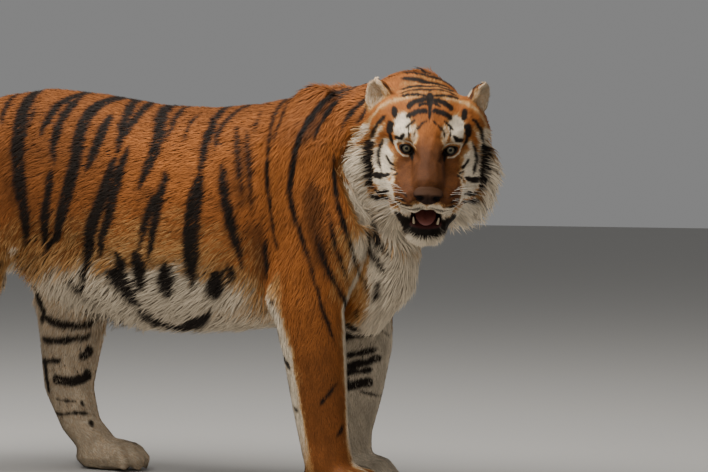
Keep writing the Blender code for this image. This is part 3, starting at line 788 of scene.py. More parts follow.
creamStripes = (
    ((128, 52), (140, 28), (150, 5), (155, -20), 22),
    ((94, 48), (110, 23), (117, -7), (116, -42), 9),
    ((88, 22), (95, -6), (96, -34), 11),
    ((72, -40), (72, -75), (74, -112), 8),
)

# softness and roughness of the edge, length of its waves, seed
stripes = Strokes(0.0034, 0.0020, 0.030, 1)
brown = Strokes(0.0090, 0.0030, 0.030, 7)
finer = Strokes(0.0016, 0.0012, 0.014, 3, faceLens)
gold = Strokes(0.0040, 0.0016, 0.020, 9, faceLens)
cream = Strokes(0.0040, 0.0016, 0.020, 9, faceLens)


millimetre = 0.001  # the head's tables are in millimetres, the others in metres
insideScale = 1.4  # the legs' inner stripes are drawn wider


def moved(table, along, up=0):
    return [(*((x + along, z + up) for x, z in spots), width) for *spots, width in table]


for name, side in sides.items():
    left = name == "left"
    for number, (*spots, width) in enumerate(trunkStripes):
        move = 0.013 * math.sin(number * 2.4) if left else 0  # no two sides are the same
        bolder = 1.15 + 0.20 * float(ramp(width, 0.012, 0.020))
        spots = [(x + move, degrees) for x, degrees in spots]
        stripes.add(wrapped(side), spots, width * bolder, blunt=float(spots[0][1] == 0))
    swapped = innerStripes if left else moved(innerStripes, -0.24, 0.02)
    for brush, placer, table, scale, ends in (
        (stripes, wrapped, napeStripes if left else (), 1, {}),
        (stripes, nearby, shoulderStripes, 1, {}),
        (stripes, fromSide, moved(thighStripes, 0.07 if left else 0), 1, {}),
        (stripes, fromSide, shankStripes[name] + forelegStripes, 1, {}),
        (stripes, fromInside, bandStripes, insideScale, {"taper": 0.15}),
        (stripes, fromInside, swapped, insideScale, {"taper": 0.2}),
        (stripes, fromFront, () if left else breastStripes, 1, {}),
        (stripes, onCrown, crownStripes, millimetre, {"taper": 0.25, "blunt": 1.0}),
        (brown, wrapped, brownStripes, 1, {}),
        (finer, onFace, faceStripes, millimetre, {"taper": 0.2}),
        (finer, onFace, browStripes if left else (), millimetre, {"taper": 0.5}),
        (gold, onFace, goldStripes, millimetre, {"taper": 0.2}),
        (cream, onFace, creamStripes, millimetre, {"taper": 0.2}),
    ):
        for *spots, width in table:
            brush.add(placer(side), spots, width * scale, **ends)
print("strokes laid:", len(stripes.lines) + len(finer.lines))


# the tail's route, from the rump to the tip

tailStops = np.array((
    (-448, 13.5, 790), (-523, 13.5, 715), (-570, 17.5, 610), (-594, 23.5, 490), (-620, 31.5, 370),
    (-668, 41.5, 268), (-743, 51.5, 205), (-833, 59.5, 192), (-913, 65.5, 222), (-968, 69.5, 280),
)) / 1000
tailPlan = {
    "spacing": 0.088,  # from ring to ring
    "half": 0.014,  # half a ring's width
    "from": (0.14, 0.18),  # where the rings begin
    "tip": (0.885, 0.900),  # where the dark tip does
}


def alongTail(points):  # length along the tail, and its direction there
    steps = np.diff(tailStops, axis=0)
    lengths = lengthOf(steps)
    before = np.concatenate(((0,), np.cumsum(lengths)))
    best = np.full(len(points), 9.0)
    arc = np.zeros(len(points))
    way = np.zeros((len(points), 3))
    for start, step, length, done in zip(tailStops, steps, lengths, before):
        share = np.clip((points - start) @ step / length ** 2, 0, 1)
        away = lengthOf(points - start - share[:, None] * step)
        closer = away < best
        best[closer] = away[closer]
        arc[closer] = (done + share * length)[closer]
        way[closer] = step / length
    return arc, way


# broad fields of white, gold, brown and dark, from 0 to 1 over the skin; the brown and dark fields also
# carry painted shade

paleSpots = (  # centre and radii in the head's frame, mirrored, in millimetres, and how pale
    ((-8, 57, 42), (40, 20, 31), 1.0),  # over the eye
    ((5, 31, 30), (30, 9, 24), 0.60),
    ((2, 98, -42), (45, 30, 44), 1.0),  # cheek
    ((104, 42, -105), (40, 34, 19), 0.95),  # lip
    ((118, 18, -104), (28, 24, 22), 0.95),
    ((-48, 152, -80), (62, 40, 92), 1.0),  # ruff
    ((-70, 150, 8), (40, 24, 46), 0.85),
    ((50, 86, -86), (45, 26, 26), 0.95),  # behind the pad
)
earTurns = {-1: 38, 1: 55}  # degrees that each ear's hollow is turned out, by side
rimPlan = {"edge": (1.20, 1.36), "bare": (1.15, 1.35), "halo": 1.82}  # round the eyes, in openings


def most(*fields):
    return np.maximum.reduce(fields)


def partness(*names):  # isPart over the whole skin, soft at the joins
    return web.even(isPart(labels, *names), 0.6, 8)


local = toHead(points)
headX, headY, headZ = local[:, 0], np.abs(local[:, 1]), local[:, 2]
bodyX, bodyY, bodyZ = points.T
wayX, wayY, wayZ = normals.T
inner = np.where(bodyY > spineY, -wayY, wayY)  # how far the skin faces the middle line
onLeft = bodyY > spineY
jitter = ripple(points, 0.05, 5)
fine = ripple(points, 0.012, 6)
height = bodyZ + 0.020 * jitter + 0.006 * fine
head = partness("head", "jaw", "ear")
ears = partness("ear")
trunk = partness("belly", "chest", "rump", "neck")
legs = partness("foreleg", "shank", "thigh", "shoulder", "hindpaw", "forepaw")
paws = partness("forepaw", "hindpaw")
tail = partness("tail")
low = fade(bodyZ, 0.34, 0.42)


def blob(centre, radii, near, far, rough=0.10):  # 1 inside an ellipsoid of the head's frame, mirrored
    offset = np.stack((headX, headY, headZ), axis=1) * 1000 - centre
    return head * fade(lengthOf(offset / radii) + rough * fine, near, far)


def tailRings():
    arc = alongTail(points)[0]
    spacing = tailPlan["spacing"]
    away = np.abs((arc + 0.006 * jitter) / spacing % 1 - 0.5) * spacing - tailPlan["half"]
    rings = fade(away - 0.004 * wayZ, -0.003, 0.003) * ramp(arc, *tailPlan["from"])
    return tail * np.maximum(rings, ramp(arc + 0.004 * fine, *tailPlan["tip"]))


def paleBody():
    edge = 0.525 - 0.02 * ramp(bodyX, 0.30, 0.45) - 0.02 * ramp(-bodyX, 0.1, 0.2)  # of the white belly
    flank = partness("belly", "chest", "rump", "thigh")
    throat = partness("neck", "chest") * ramp(bodyX + 0.02 * jitter, 0.70, 0.75)
    breast = partness("neck", "chest", "shoulder")
    fore = partness("foreleg", "shoulder")
    turned = inner + 0.45 * onLeft + 0.1 * fine
    ahead = bodyX + 0.01 * jitter
    armpit = ramp(inner + 0.6 * wayX, 0.45, 0.75) * fade(height, 0.50, 0.56) * ramp(bodyX, 0.62, 0.66)
    return most(
        trunk * fade(height - edge, -0.03, 0.02),
        0.30 * flank * fade(height - edge, -0.02, 0.15),
        throat * fade(height, 0.62, 0.70),
        # the hind legs are less pale here: their tan hair, partly painted shade from the body over them
        legs * ramp(turned, 0.05 - 0.3 * low, 0.45 - 0.2 * low) * (0.70 + 0.20 * ramp(bodyX, 0.0, 0.2)),
        breast * fade(height, 0.58, 0.66) * most(0.30 * ramp(ahead, 0.69, 0.72), ramp(ahead, 0.72, 0.745)),
        0.90 * (fore + breast) * armpit,
        fore * ramp(-wayX + 0.1 * fine, 0.15, 0.50) * fade(height, 0.44, 0.50),
        legs * ramp(-wayZ, 0.4, 0.8) * ramp(bodyZ, 0.30, 0.36),
        0.55 * paws * fade(height, 0.02, 0.06),
        0.80 * tail * ramp(-wayZ + 0.15 * fine, 0.1, 0.7),
    )


def paleHead():
    spots = [head * ramp(-headZ + 0.006 * jitter, 0.108, 0.128)]
    for centre, radii, strength in paleSpots:
        spots.append(strength * blob(centre, radii, 0.80, 1.10))
        spots.append(0.28 * blob(centre, radii, 0.9, 1.35))
    spots.append(0.16 * blob((-100, 0, 100), (75, 75, 45), 0.7, 1.1))  # crown
    return most(*spots, 0.45 * head * gold.at(points), 0.80 * head * cream.at(points))


def skinMarkingsAndShade():  # strokes are added to these
    facing = np.zeros(len(points))  # how far an ear's skin faces the way its hollow opens
    rims = np.full(len(points), 9.0)  # distance from the eyes, in openings
    for side in sides.values():
        turn = math.radians(earTurns[side])
        way = unit(np.array((math.cos(turn), side * math.sin(turn), 0.15)) @ headAxes.T)
        mine = local[:, 1] * side > 0
        facing = np.where(mine, dotted(normals, way), facing)
        rims = np.where(mine & (headX > -0.012), openness(local, side), rims)

    hollow = ears * ramp(facing, 0.25, 0.55)
    back = ears * ramp(-facing, 0.15, 0.4)
    spot = back * fade(np.abs(headZ - 0.088), 0.010, 0.018)
    brim = ears * ramp(facing, -0.2, 0.1) * fade(facing, 0.2, 0.5)
    halo = 0.9 * head * fade(np.abs(rims - rimPlan["halo"]) + 0.06 * fine, 0.18, 0.36)
    halo *= 1 - ramp(0.044 - headY, 0, 0.004) * ramp(0.012 - headZ, 0, 0.006)
    pale = most(paleHead(), paleBody()) * (1 - back)
    # painted shade in the ears' hollows: their white is dimmed, most on the inner side
    pale = most(pale, hollow * (0.30 + 0.35 * ramp(headY, 0.080, 0.115)), spot, halo)

    mouth = head * fade(headY, 0.0325, 0.036) * ramp(headX, -0.012, -0.008) * fade(headX, 0.092, 0.104)
    mouth *= ramp(-headZ, 0.122, 0.126) * fade(-headZ, 0.150, 0.156)
    sole = paws * fade(bodyZ, 0.002, 0.006) * ramp(-wayZ, 0.3, 0.7)
    # the throat under the head, where painted shade is laid below
    throat = ramp(bodyX, 0.68, 0.74) * ramp(height, 0.54, 0.64) * fade(height, 0.70, 0.74)
    # dark patches: the coat's own marks, with painted shade on the legs' inner sides, under the body and on
    # the throat
    patch = most(
        tailRings(),
        0.95 * back * (1 - spot),
        0.85 * brim,
        head * fade(rims, *rimPlan["edge"]),
        blob((22, 33, -6), (16, 4.5, 9), 0.7, 1.1, 0),  # tear duct
        blob((72, 50, -145), (38, 21, 28), 0.85, 1.1),  # corner of the mouth
        blob((88, 0, -157), (30, 44, 10), 0.85, 1.1),  # lower lip
        0.8 * blob((106, 33, -99), (28, 32, 3.2), 0.7, 1.2, 0),  # edge of the pad
        0.9 * sole,
        # painted shade: the legs' inner sides, more on the far legs, darkened for the body's shadow
        0.36 * legs * low * ramp(inner + 0.3 * onLeft, 0.2, 0.6),
        # painted shade under the body, on skin that faces down
        0.28 * trunk * ramp(-wayZ, 0.2, 0.7) * ramp(0.60 - bodyX, 0, 0.1),
        # painted shade on the throat under the head
        0.28 * partness("neck", "chest", "jaw") * throat,
    )
    bridge = fade(headY + 0.004 * fine, 0.030, 0.055) * ramp(headX, -0.01, 0.03)
    bridge *= ramp(-headZ, -0.045, -0.01)
    cheek = ramp(-headZ, 0.0, 0.02) * (0.72 + 0.20 * ramp(headX, 0.01, 0.05))
    clouds = 0.25 * ramp(ripple(points, 0.16, 9), -0.2, 0.9)
    # browner tone: the coat's own, together with painted shade on the rear, the back, the lower legs and in
    # the ears' hollows
    rustAndShade = most(
        head * bridge,
        head * cheek,
        # painted shade: the rear of the body is browner; the broad clouds are the coat's own uneven tone
        (1 - head) * (clouds + 0.50 * ramp(-bodyX, -0.35, 0.10)),
        # the upturned back is browner: the coat's darker back, partly painted shade
        0.48 * trunk * ramp(wayZ, 0.5, 0.95),
        # the lower legs are browner: the coat's brown, partly painted shade
        0.50 * legs * fade(bodyZ, 0.25, 0.50),
        0.90 * brown.at(points),
        # painted shade in the ears' hollows
        0.80 * hollow,
    )
    return {
        "patch": patch,
        "allow": (1 - halo) * (1 - ears),  # where strokes may show
        "pale": pale,
        "rustAndShade": rustAndShade,
        "mouth": mouth,
        "bare": most(mouth, sole, head * fade(rims, *rimPlan["bare"])),
        "hollow": hollow,
    }


def darkAt(spots, onSkin, patch, allow):
    return np.maximum(np.maximum(stripes.at(onSkin), finer.at(spots)) * allow, patch)


broad = skinMarkingsAndShade()
dark = darkAt(points, points, broad["patch"], broad["allow"])
giveValues(skin.data, {"dark": dark, "pale": broad["pale"], "rustAndShade": broad["rustAndShade"], "mouth": broad["mouth"]})
print("markings set")


# the lie of the hair

headWays = {  # in the head's frame
    "from": (0.135, 0, -0.052),  # the hair lies away from the nose
    "ruff": (-0.5, 0, -0.75),
    "ear": (-0.15, 0.35, 1),
}


def hairFlow():
    flow = np.zeros((len(points), 3))
    for part, (*size, way) in coatPlan.items():
        flow[isPart(labels, part) > 0] = way or 0
    hang = zones()["apron"][:, None]
    flow += hang * ((-0.15, 0, -1) - flow)
    onTail = isPart(labels, "tail") > 0
    flow[onTail] = alongTail(points)[1][onTail]
    ruff = ramp(headY, 0.07, 0.13)[:, None]
    away = unit(local - headWays["from"]) * (1 - 0.4 * ruff) + ruff * headWays["ruff"]
    away += isPart(labels, "ear")[:, None] * (headWays["ear"] * mirrorOf(local) - away)
    onHead = isPart(labels, "head", "jaw", "ear") > 0
    flow[onHead] = unit(away @ headAxes.T)[onHead]
    for step in range(30):
        flow = web.even(unit(flow), 0.7)
        flow -= dotted(flow, normals)[:, None] * normals
    return unit(flow)


flow = hairFlow()


# the coat: closed leaf-shaped tufts on short hair, bent locks where it is long

coatForm = {
    "cover": 2.05,  # how many tufts lie over each point
    "lock": 0.0285,  # from this length a tuft is a bent lock
    "seed": 11,
    "most": 190000,  # triangles in a piece
    "sunk": 0.0006,  # a root below the skin
    "floor": 0.0004,  # no hair goes lower
    "patch": 0.0015,  # half of a tuft's patch on the map
    "tall": (0.006, 14),  # locks in the ears are longer, and stand up more
    "jitter": 0.32,  # of the paleness, from tuft to tuft
}
coatGroups = {  # what each group of pieces covers
    "face": ("head", "jaw", "ear"),
    "neck": ("neck",),
    "chest": ("chest",),
    "belly": ("belly",),
    "rump": ("rump",),
    "shoulder": ("shoulder",),
    "thigh": ("thigh",),
    "foreleg": ("foreleg", "forepaw"),
    "hindleg": ("shank", "hindpaw"),
    "tail": ("tail",),
}
unwrapTiles = {  # left, bottom, width, height on the map
    "trunk": (0.00, 0.00, 1.00, 0.34),
    "head": (0.00, 0.35, 0.60, 0.24),
    "ears": (0.60, 0.35, 0.38, 0.24),
    "foreleg": (0.00, 0.60, 0.50, 0.13),
    "forelegLeft": (0.50, 0.60, 0.50, 0.13),
    "hindleg": (0.00, 0.74, 0.50, 0.13),
    "hindlegLeft": (0.50, 0.74, 0.50, 0.13),
    "tail": (0.00, 0.88, 1.00, 0.11),
}
tileParts = {
    "trunk": ("neck", "chest", "belly", "rump"),
    "head": ("head", "jaw"),
    "ears": ("ear",),
    "foreleg": ("shoulder", "foreleg", "forepaw"),
    "hindleg": ("thigh", "shank", "hindpaw"),
    "tail": ("tail",),
}


def unwrap(spots, ways, owners):  # each root's place on an unwrap of the skin
    x, y, z = spots.T
    noseward, out, up = toHead(spots).T
    around = np.arctan2(ways[:, 1], ways[:, 0])
    places = {  # along the part, and the angle round it
        "trunk": ((x + 0.60) / 1.55, np.arctan2(y - spineY, middleHeight - z)),
        "head": ((noseward + 0.25) / 0.40, np.arctan2(out, up + 0.04)),
        "ears": ((np.abs(out) - 0.05) / 0.24 + 0.5 * (out > 0), math.tau * ((up - 0.02) / 0.14 - 0.5)),
        "foreleg": (z / 0.95, around),
        "hindleg": (z / 0.95, around),
        "tail": (alongTail(spots)[0] / 1.25, np.arctan2(ways[:, 1], ways[:, 2] + 0.3 * ways[:, 0])),
    }
    placed = np.zeros((len(spots), 2))
    for name, (along, angle) in places.items():
        mine = isPart(owners, *tileParts[name]) > 0
        share = np.stack((np.clip(along, 0, 1), angle / math.tau + 0.5), axis=1)
        for side, tile in (("right", name), ("left", name + "Left")):
            left, bottom, width, height = unwrapTiles.get(tile, unwrapTiles[name])
            here = mine & ((y > spineY) == (side == "left"))
            placed[here] = (share * (width, height) + (left, bottom))[here]
    return np.clip(placed, 0.002, 0.998)


def sow(long):  # roots spread evenly over the skin, each with its values
    rng = np.random.default_rng(coatForm["seed"] + int(long))
    faces = trianglesOf(skin.data)
    a, b, c = (points[faces[:, corner]] for corner in range(3))
    areas = lengthOf(np.cross(b - a, c - a)) / 2
    size = sizes[faces].mean(axis=1)
    hairy = broad["hollow"][faces].mean(axis=1) > 0.5  # the ears' insides grow both kinds
    wanted = ((size[:, 0] > coatForm["lock"]) == long) | hairy
    wanted &= broad["bare"][faces].max(axis=1) < 0.4
    ends = np.cumsum(coatForm["cover"] * areas / (0.5 * size[:, 0] * size[:, 1]) * wanted)
    picks = np.searchsorted(ends, np.arange(int(ends[-1])) + rng.random(int(ends[-1])))
    rng.shuffle(picks)
    corners = faces[np.minimum(picks, len(faces) - 1)]
    share = rng.random((len(picks), 2))
    share = np.where(share.sum(axis=1, keepdims=True) > 1, 1 - share, share)
    share = np.concatenate((1 - share.sum(axis=1, keepdims=True), share), axis=1)

    def mixed(values):
        picked = values[corners]
        return (picked * share.reshape(share.shape + (1,) * (picked.ndim - 2))).sum(axis=1)

    roots = {
        "spot": mixed(points),
        "normal": unit(mixed(normals)),
        "flow": mixed(flow),
        "size": mixed(sizes),
        "owner": labels[corners[:, 0]],
        "chance": rng.random((len(picks), 6)),
    }
    for name in ("patch", "allow", "pale", "rustAndShade", "hollow"):
        roots[name] = mixed(broad[name])
    return roots


lockForm = {
    "faces": (
        (0, 1, 2), (0, 4, 1), (0, 3, 4), (1, 5, 2), (1, 4, 5),
        (2, 3, 0), (2, 5, 3), (3, 6, 4), (4, 6, 5), (5, 6, 3),
    ),
    "lean": (0.6, -0.6, 0, 0.6, -0.6, 0, 0),  # of the corners' normals to the side
    "tip": (0, 0, 0, 0.5, 0.5, 0.5, 1),
    "patch": ((-1, 1), (-1, -1), (-1, 0), (0, 1), (0, -1), (0, 0), (1, 0)),
    "seen": (0.1, 0.5, 0.9),  # where along it the markings are looked up
}
leafForm = {
    "faces": ((0, 2, 1), (3, 1, 2), (0, 1, 3), (0, 3, 2)),
    "lean": (0, 0.5, -0.5, 0),
    "tip": (0, 0.45, 0.45, 1),
    "patch": ((-1, 0), (0, 1), (0, -1), (1, 0)),
    "seen": (0.0, 0.4, 0.85),
}


def shapeTufts(roots, form):  # corner points, their normals, and the values of every tuft
    spot, normal, chance = roots["spot"], roots["normal"], roots["chance"]
    length, width, angle = roots["size"].T
    if form is lockForm:
        longer, steeper = coatForm["tall"]
        length = length + longer * roots["hollow"]
        angle = angle + steeper * roots["hollow"]
    length = length * (0.75 + 0.5 * chance[:, 0]) * ramp(spot[:, 2], -0.03, 0.02)
    stand = np.radians(angle * (0.55 + 0.9 * chance[:, 1]))[:, None]
    half = (width * (0.75 + 0.5 * chance[:, 2]))[:, None] / 2
    reach = length[:, None]
    sway = 0.20 * ripple(spot, 0.07, 21) + 0.16 * ripple(spot, 0.02, 22) + 0.36 * (chance[:, 3] - 0.5)
    lie = unit(roots["flow"] + sway[:, None] * np.cross(roots["flow"], normal))
    lie = unit(lie - dotted(lie, normal)[:, None] * normal)
    across = np.cross(normal, lie)
    way = lie * np.cos(stand) + normal * np.sin(stand)
    root = spot - normal * coatForm["sunk"]
    if form is lockForm:
        droop = unit(lie * 0.9 - normal * 0.15 + (0, 0, -0.30))
        middle = root + way * reach * 0.5
        tip = middle + unit(way * 0.45 + droop * 0.55) * reach * 0.5
        corners = [
            root + across * half * 0.6, root - across * half * 0.6, root + normal * half * 0.8,
            middle + across * half, middle - across * half, middle + normal * half * 0.8,
            tip,
        ]
    else:
        swell = root + way * reach * 0.36 + normal * half * 0.35
        corners = [root, swell + across * half, swell - across * half, root + way * reach]
    places = np.stack(corners, axis=1)
    places[:, :, 2] = np.maximum(places[:, :, 2], coatForm["floor"])
    facing = np.stack([unit(normal + across * tilt + lie * 0.12) for tilt in form["lean"]], axis=1)
    dark = []
    for share in form["seen"]:
        seen = spot + lie * reach * share
        onSkin = np.array([nearestOn(place) for place in seen]) if form is lockForm else seen
        dark.append(darkAt(seen, onSkin, roots["patch"], roots["allow"]))
    steps = np.rint(np.array(form["tip"]) * 2 + 0.01).astype(int)
    paler = coatForm["jitter"] * (chance[:, 4] - 0.5) * (roots["pale"] > 0.03)
    values = {
        "dark": np.stack(dark, axis=1)[:, steps],
        "pale": np.clip(roots["pale"] + paler, 0, 1),
        "rustAndShade": roots["rustAndShade"],
        "shade": 0.5 * (chance[:, 5] * 2 - 1) + 0.5 * ripple(spot * (1, 1, 0.35), 0.022, 31),
    }
    return places, facing, values


def weave(name, form, places, facing, onMap, values):  # one mesh of many tufts
    count, size = places.shape[:2]
    corners = (np.arange(count)[:, None, None] * size + np.array(form["faces"])).reshape(-1)
    mesh = bpy.data.meshes.new(name)
    mesh.vertices.add(count * size)
    mesh.loops.add(len(corners))
    mesh.polygons.add(len(corners) // 3)
    mesh.loops.foreach_set("vertex_index", corners.astype(np.int32))
    mesh.polygons.foreach_set("loop_start", np.arange(0, len(corners), 3, dtype=np.int32))
    mesh.polygons.foreach_set("use_smooth", np.ones(len(corners) // 3, bool))
    flat = mesh.uv_layers.new(name="OFBake")
    turned = mesh.attributes.new("custom_normal", "FLOAT_VECTOR", "POINT")
    for items, field, given in (
        (mesh.vertices, "co", places),
        (flat.data, "uv", onMap.reshape(-1, 2)[corners]),
        (turned.data, "vector", facing),
    ):
        items.foreach_set(field, given.astype(np.float32).ravel())
    mesh.update(calc_edges=True)
    values = {key: np.broadcast_to(value.T, (size, count)).T.ravel() for key, value in values.items()}
    giveValues(mesh, {**values, "tip": np.tile(form["tip"], count)})
    return link(mesh, name)


def growCoat(kind, form):
    roots = sow(form is lockForm)
    places, facing, values = shapeTufts(roots, form)
    patch = np.array(form["patch"]) * coatForm["patch"]
    onMap = unwrap(roots["spot"], roots["normal"], roots["owner"])[:, None, :] + patch
    grown = []
    for group, parts in coatGroups.items():
        mine = isPart(roots["owner"], *parts) > 0
        centre = toHead(roots["spot"])[:, 1] if group == "face" else roots["spot"][:, 1] - spineY
        for name, side in sides.items():
            chosen = np.flatnonzero(mine & (centre * side > 0))
            if len(chosen) == 0:
                continue
            pieces = len(chosen) * len(form["faces"]) // coatForm["most"] + 1
            for number, some in enumerate(np.array_split(chosen, pieces)):
                title = f"{kind}_{group}_{name}_{number + 1}"
                own = {key: value[some] for key, value in values.items()}
                grown.append(weave(title, form, places[some], facing[some], onMap[some], own))
    print(kind, "grown:", len(roots["spot"]), "in", len(grown), "pieces")
    return grown


coat = growCoat("coat", leafForm) + growCoat("locks", lockForm)


# materials

class Wire:  # a node's output that sums can be written with

    def __init__(self, tree, socket=None):
        self.tree = tree
        self.socket = socket

    def node(self, kind, settings, values, output=0):
        node = self.tree.nodes.new(kind)
        for key, value in settings.items():
            setattr(node, key, value)
        for key, value in values.items():
            if isinstance(value, Wire):
                self.tree.links.new(value.socket, node.inputs[key])
            else:
                node.inputs[key].default_value = value
        return Wire(self.tree, node.outputs[output])

    def __add__(self, other):
        return self.node("ShaderNodeMath", {"operation": "ADD"}, {0: self, 1: other})

    def __radd__(self, other):
        return self.node("ShaderNodeMath", {"operation": "ADD"}, {0: other, 1: self})

    def __mul__(self, other):
        return self.node("ShaderNodeMath", {"operation": "MULTIPLY"}, {0: self, 1: other})

    def __rmul__(self, other):
        return self.node("ShaderNodeMath", {"operation": "MULTIPLY"}, {0: other, 1: self})

    def value(self, name):
        return self.node("ShaderNodeAttribute", {"attribute_name": name}, {}, "Fac")

    def blend(self, factor, first, second):
        settings = {"data_type": "RGBA", "clamp_factor": True}
        return self.node("ShaderNodeMix", settings, {0: factor, 6: first, 7: second}, 2)

    def scaled(self, colour, amount):
        return self.node("ShaderNodeVectorMath", {"operation": "SCALE"}, {0: colour, "Scale": amount})

    def within(self, value, low, high):  # 0 to 1 as the value passes from low to high
        settings = {"interpolation_type": "SMOOTHSTEP"}
        values = {"Value": value, "From Min": low, "From Max": high}
        return self.node("ShaderNodeMapRange", settings, values)

    def join(self, surface, socket="Base Color"):
        self.tree.links.new(self.socket, surface.inputs[socket])


def newMaterial(name, look):
    material = bpy.data.materials.new(name)
    material.use_nodes = True
    surface = material.node_tree.nodes["Principled BSDF"]
    for socket, value in look.items():
        surface.inputs[socket].default_value = value
    return material, surface, Wire(material.node_tree)


def roughen(wire, surface, kind, grain, bump, settings):  # a fine relief that follows the piece
    grain = {**grain, "Vector": wire.node("ShaderNodeTexCoord", {}, {}, "Object")}
    bump = {**bump, "Height": wire.node(kind, {}, grain)}
    wire.node("ShaderNodeBump", settings, bump).join(surface, "Normal")


furColours = {
    "orange": (0.375, 0.120, 0.025, 1),
    "gold": (0.56, 0.30, 0.105, 1),
    "rustAndShade": (0.112, 0.037, 0.009, 1),
    "pale": (0.87, 0.73, 0.54, 1),
    "dark": (0.013, 0.008, 0.005, 1),
    "mouth": (0.07, 0.02, 0.018, 1),
}
furLooks = {
    "skin": {"Roughness": 0.75, "Specular IOR Level": 0.25},
    "skinGrain": {"Scale": 260.0, "Detail": 4.0},
    "skinBump": {"Strength": 0.35, "Distance": 0.001},
    "skinLight": 0.62,  # painted shade: the skin, seen between the tufts, is darker than the coat over it
    "coat": {"Roughness": 0.7, "Specular IOR Level": 0.18},
    "rootLight": 0.68,
    "tipLight": 0.36,  # added at the tips, so that painted shade keeps the tufts' roots darker
    "uneven": 0.29,  # lighter and darker tufts
}


def furColour(wire):  # shared by the skin and the coat
    pale = wire.value("pale")
    # browner where that field asks, in places as painted shade
    colour = wire.blend(wire.value("rustAndShade"), furColours["orange"], furColours["rustAndShade"])
    colour = wire.blend(wire.within(pale, 0.0, 0.40), colour, furColours["gold"])
    colour = wire.blend(wire.within(pale, 0.30, 0.90), colour, furColours["pale"])
    # near black for stripes and dark patches, which in places are painted shade
    return wire.blend(wire.value("dark"), colour, furColours["dark"])


skinMaterial, surface, wire = newMaterial("skin", furLooks["skin"])
# painted shade: the skin between the tufts is darkened
colour = wire.scaled(furColour(wire), furLooks["skinLight"])
wire.blend(wire.value("mouth"), colour, furColours["mouth"]).join(surface)
roughen(wire, surface, "ShaderNodeTexNoise", furLooks["skinGrain"], furLooks["skinBump"], {})

coatMaterial, surface, wire = newMaterial("coat", furLooks["coat"])
# painted shade: each tuft is darker at its root and lighter towards its tip
light = furLooks["rootLight"] + wire.value("tip") * furLooks["tipLight"]
light = light * (1.0 + wire.value("shade") * furLooks["uneven"])
wire.scaled(furColour(wire), light).join(surface)


def finish(piece, material, slot, *nodes):
    piece.data.materials.clear()
    piece.data.materials.append(material)
    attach(piece, "root")
    if nodes:
        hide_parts(*nodes)


finish(skin, skinMaterial, "coat", *fleshNodes)
for piece in coat:
    finish(piece, coatMaterial, "coat")
print("coat finished")


# eyes

def ball(name, segments, rings):  # a unit ball, its poles along X
    shape = bmesh.new()
    bmesh.ops.create_uvsphere(shape, u_segments=segments, v_segments=rings, radius=1)
    turn = Matrix.Rotation(math.radians(90), 3, "Y")
    bmesh.ops.rotate(shape, verts=shape.verts, cent=(0, 0, 0), matrix=turn)
    piece = made(shape, name)
    piece.data.shade_smooth()
    return piece


eyeLook = {"Roughness": 0.15, "Specular IOR Level": 0.2, "Coat Weight": 0.12, "Coat Roughness": 0.04}
irisColours = {
    "light": (0.115, 0.096, 0.056, 1),
    "streak": (0.062, 0.052, 0.032, 1),
    "ring": (0.15, 0.130, 0.080, 1),  # round the pupil
    "rim": (0.010, 0.008, 0.006, 1),
    "pupil": (0.004, 0.004, 0.004, 1),
    "white": (0.10, 0.07, 0.055, 1),
}

eyeMaterial, surface, wire = newMaterial("eye", eyeLook)
angle = wire.value("angle")  # from the pupil's middle
iris = wire.blend(wire.value("streak"), irisColours["light"], irisColours["streak"])
iris = wire.blend(wire.within(angle, 0.20, 0.36), irisColours["ring"], iris)
iris = wire.blend(wire.within(angle, 0.40, 0.50), iris, irisColours["rim"])
iris = wire.blend(wire.within(angle, 0.190, 0.215), irisColours["pupil"], iris)
wire.blend(wire.within(angle, 0.74, 0.80), iris, irisColours["white"]).join(surface)

for name, side in sides.items():
    eye = ball(f"eyeball_{name}", 64, 48)
    ballPoints = pointsOf(eye.data)
    turn = np.arctan2(ballPoints[:, 2], ballPoints[:, 1])
    off = np.arccos(np.clip(ballPoints[:, 0], -1, 1))
    streak = 0.5 + 0.3 * np.sin(turn * 23 + side) + 0.2 * np.sin(turn * 41 + 2)
    giveValues(eye.data, {"angle": off, "streak": streak})
    dome = 1 + 0.05 * fade(off, 0.40, 0.74)  # the cornea stands out
    gaze = np.array(Matrix.Rotation(math.radians(-eyePlan["gaze"]), 3, "Y"))
    shape = (ballPoints * dome[:, None]) @ gaze.T * (eyePlan["radius"] - 0.0009)
    movePoints(eye.data, fromHead(shape + toHead(np.array(middleOf(f"eye_{name}")))))
    finish(eye, eyeMaterial, "eye", f"eye_{name}")


# nose leather

nosePlan = {
    "centre": (0.126, 0, -0.064),
    "radii": (0.0165, 0.0325, 0.0205),
    "outline": (  # depth below the eyes, and half the width there, in millimetres
        (44, 24), (50, 30.5), (58, 31.5), (68, 28), (76, 17), (83, 7), (90, 3),
    ),
    "hole": (0.0195, 0.0680, 0.0112, 0.0064),  # out, down, half width, half height
    "slit": (0.029, 0.0665, 0.006, 0.0028),  # the same for the nostril's outer end
    "deep": 0.009,
    "rim": 0.0014,
    "groove": 0.0022,  # down the middle
    "edge": 0.007,  # how far the rest of the ball is drawn in
    "look": {"Roughness": 0.72, "Specular IOR Level": 0.12},
    "top": (0.056, 0.024, 0.010, 1),
    "low": (0.024, 0.011, 0.007, 1),
    "pit": (0.006, 0.004, 0.004, 1),
    "cells": {"Scale": 620.0},
    "bump": {"Strength": 0.5, "Distance": 0.0005},
}


def nostril(y, z, out, down, wide, high, slope):  # distance from its middle, in its own radii
    return np.sqrt(((y - out) / wide) ** 2 + ((z + down + slope * (y - out)) / high) ** 2)


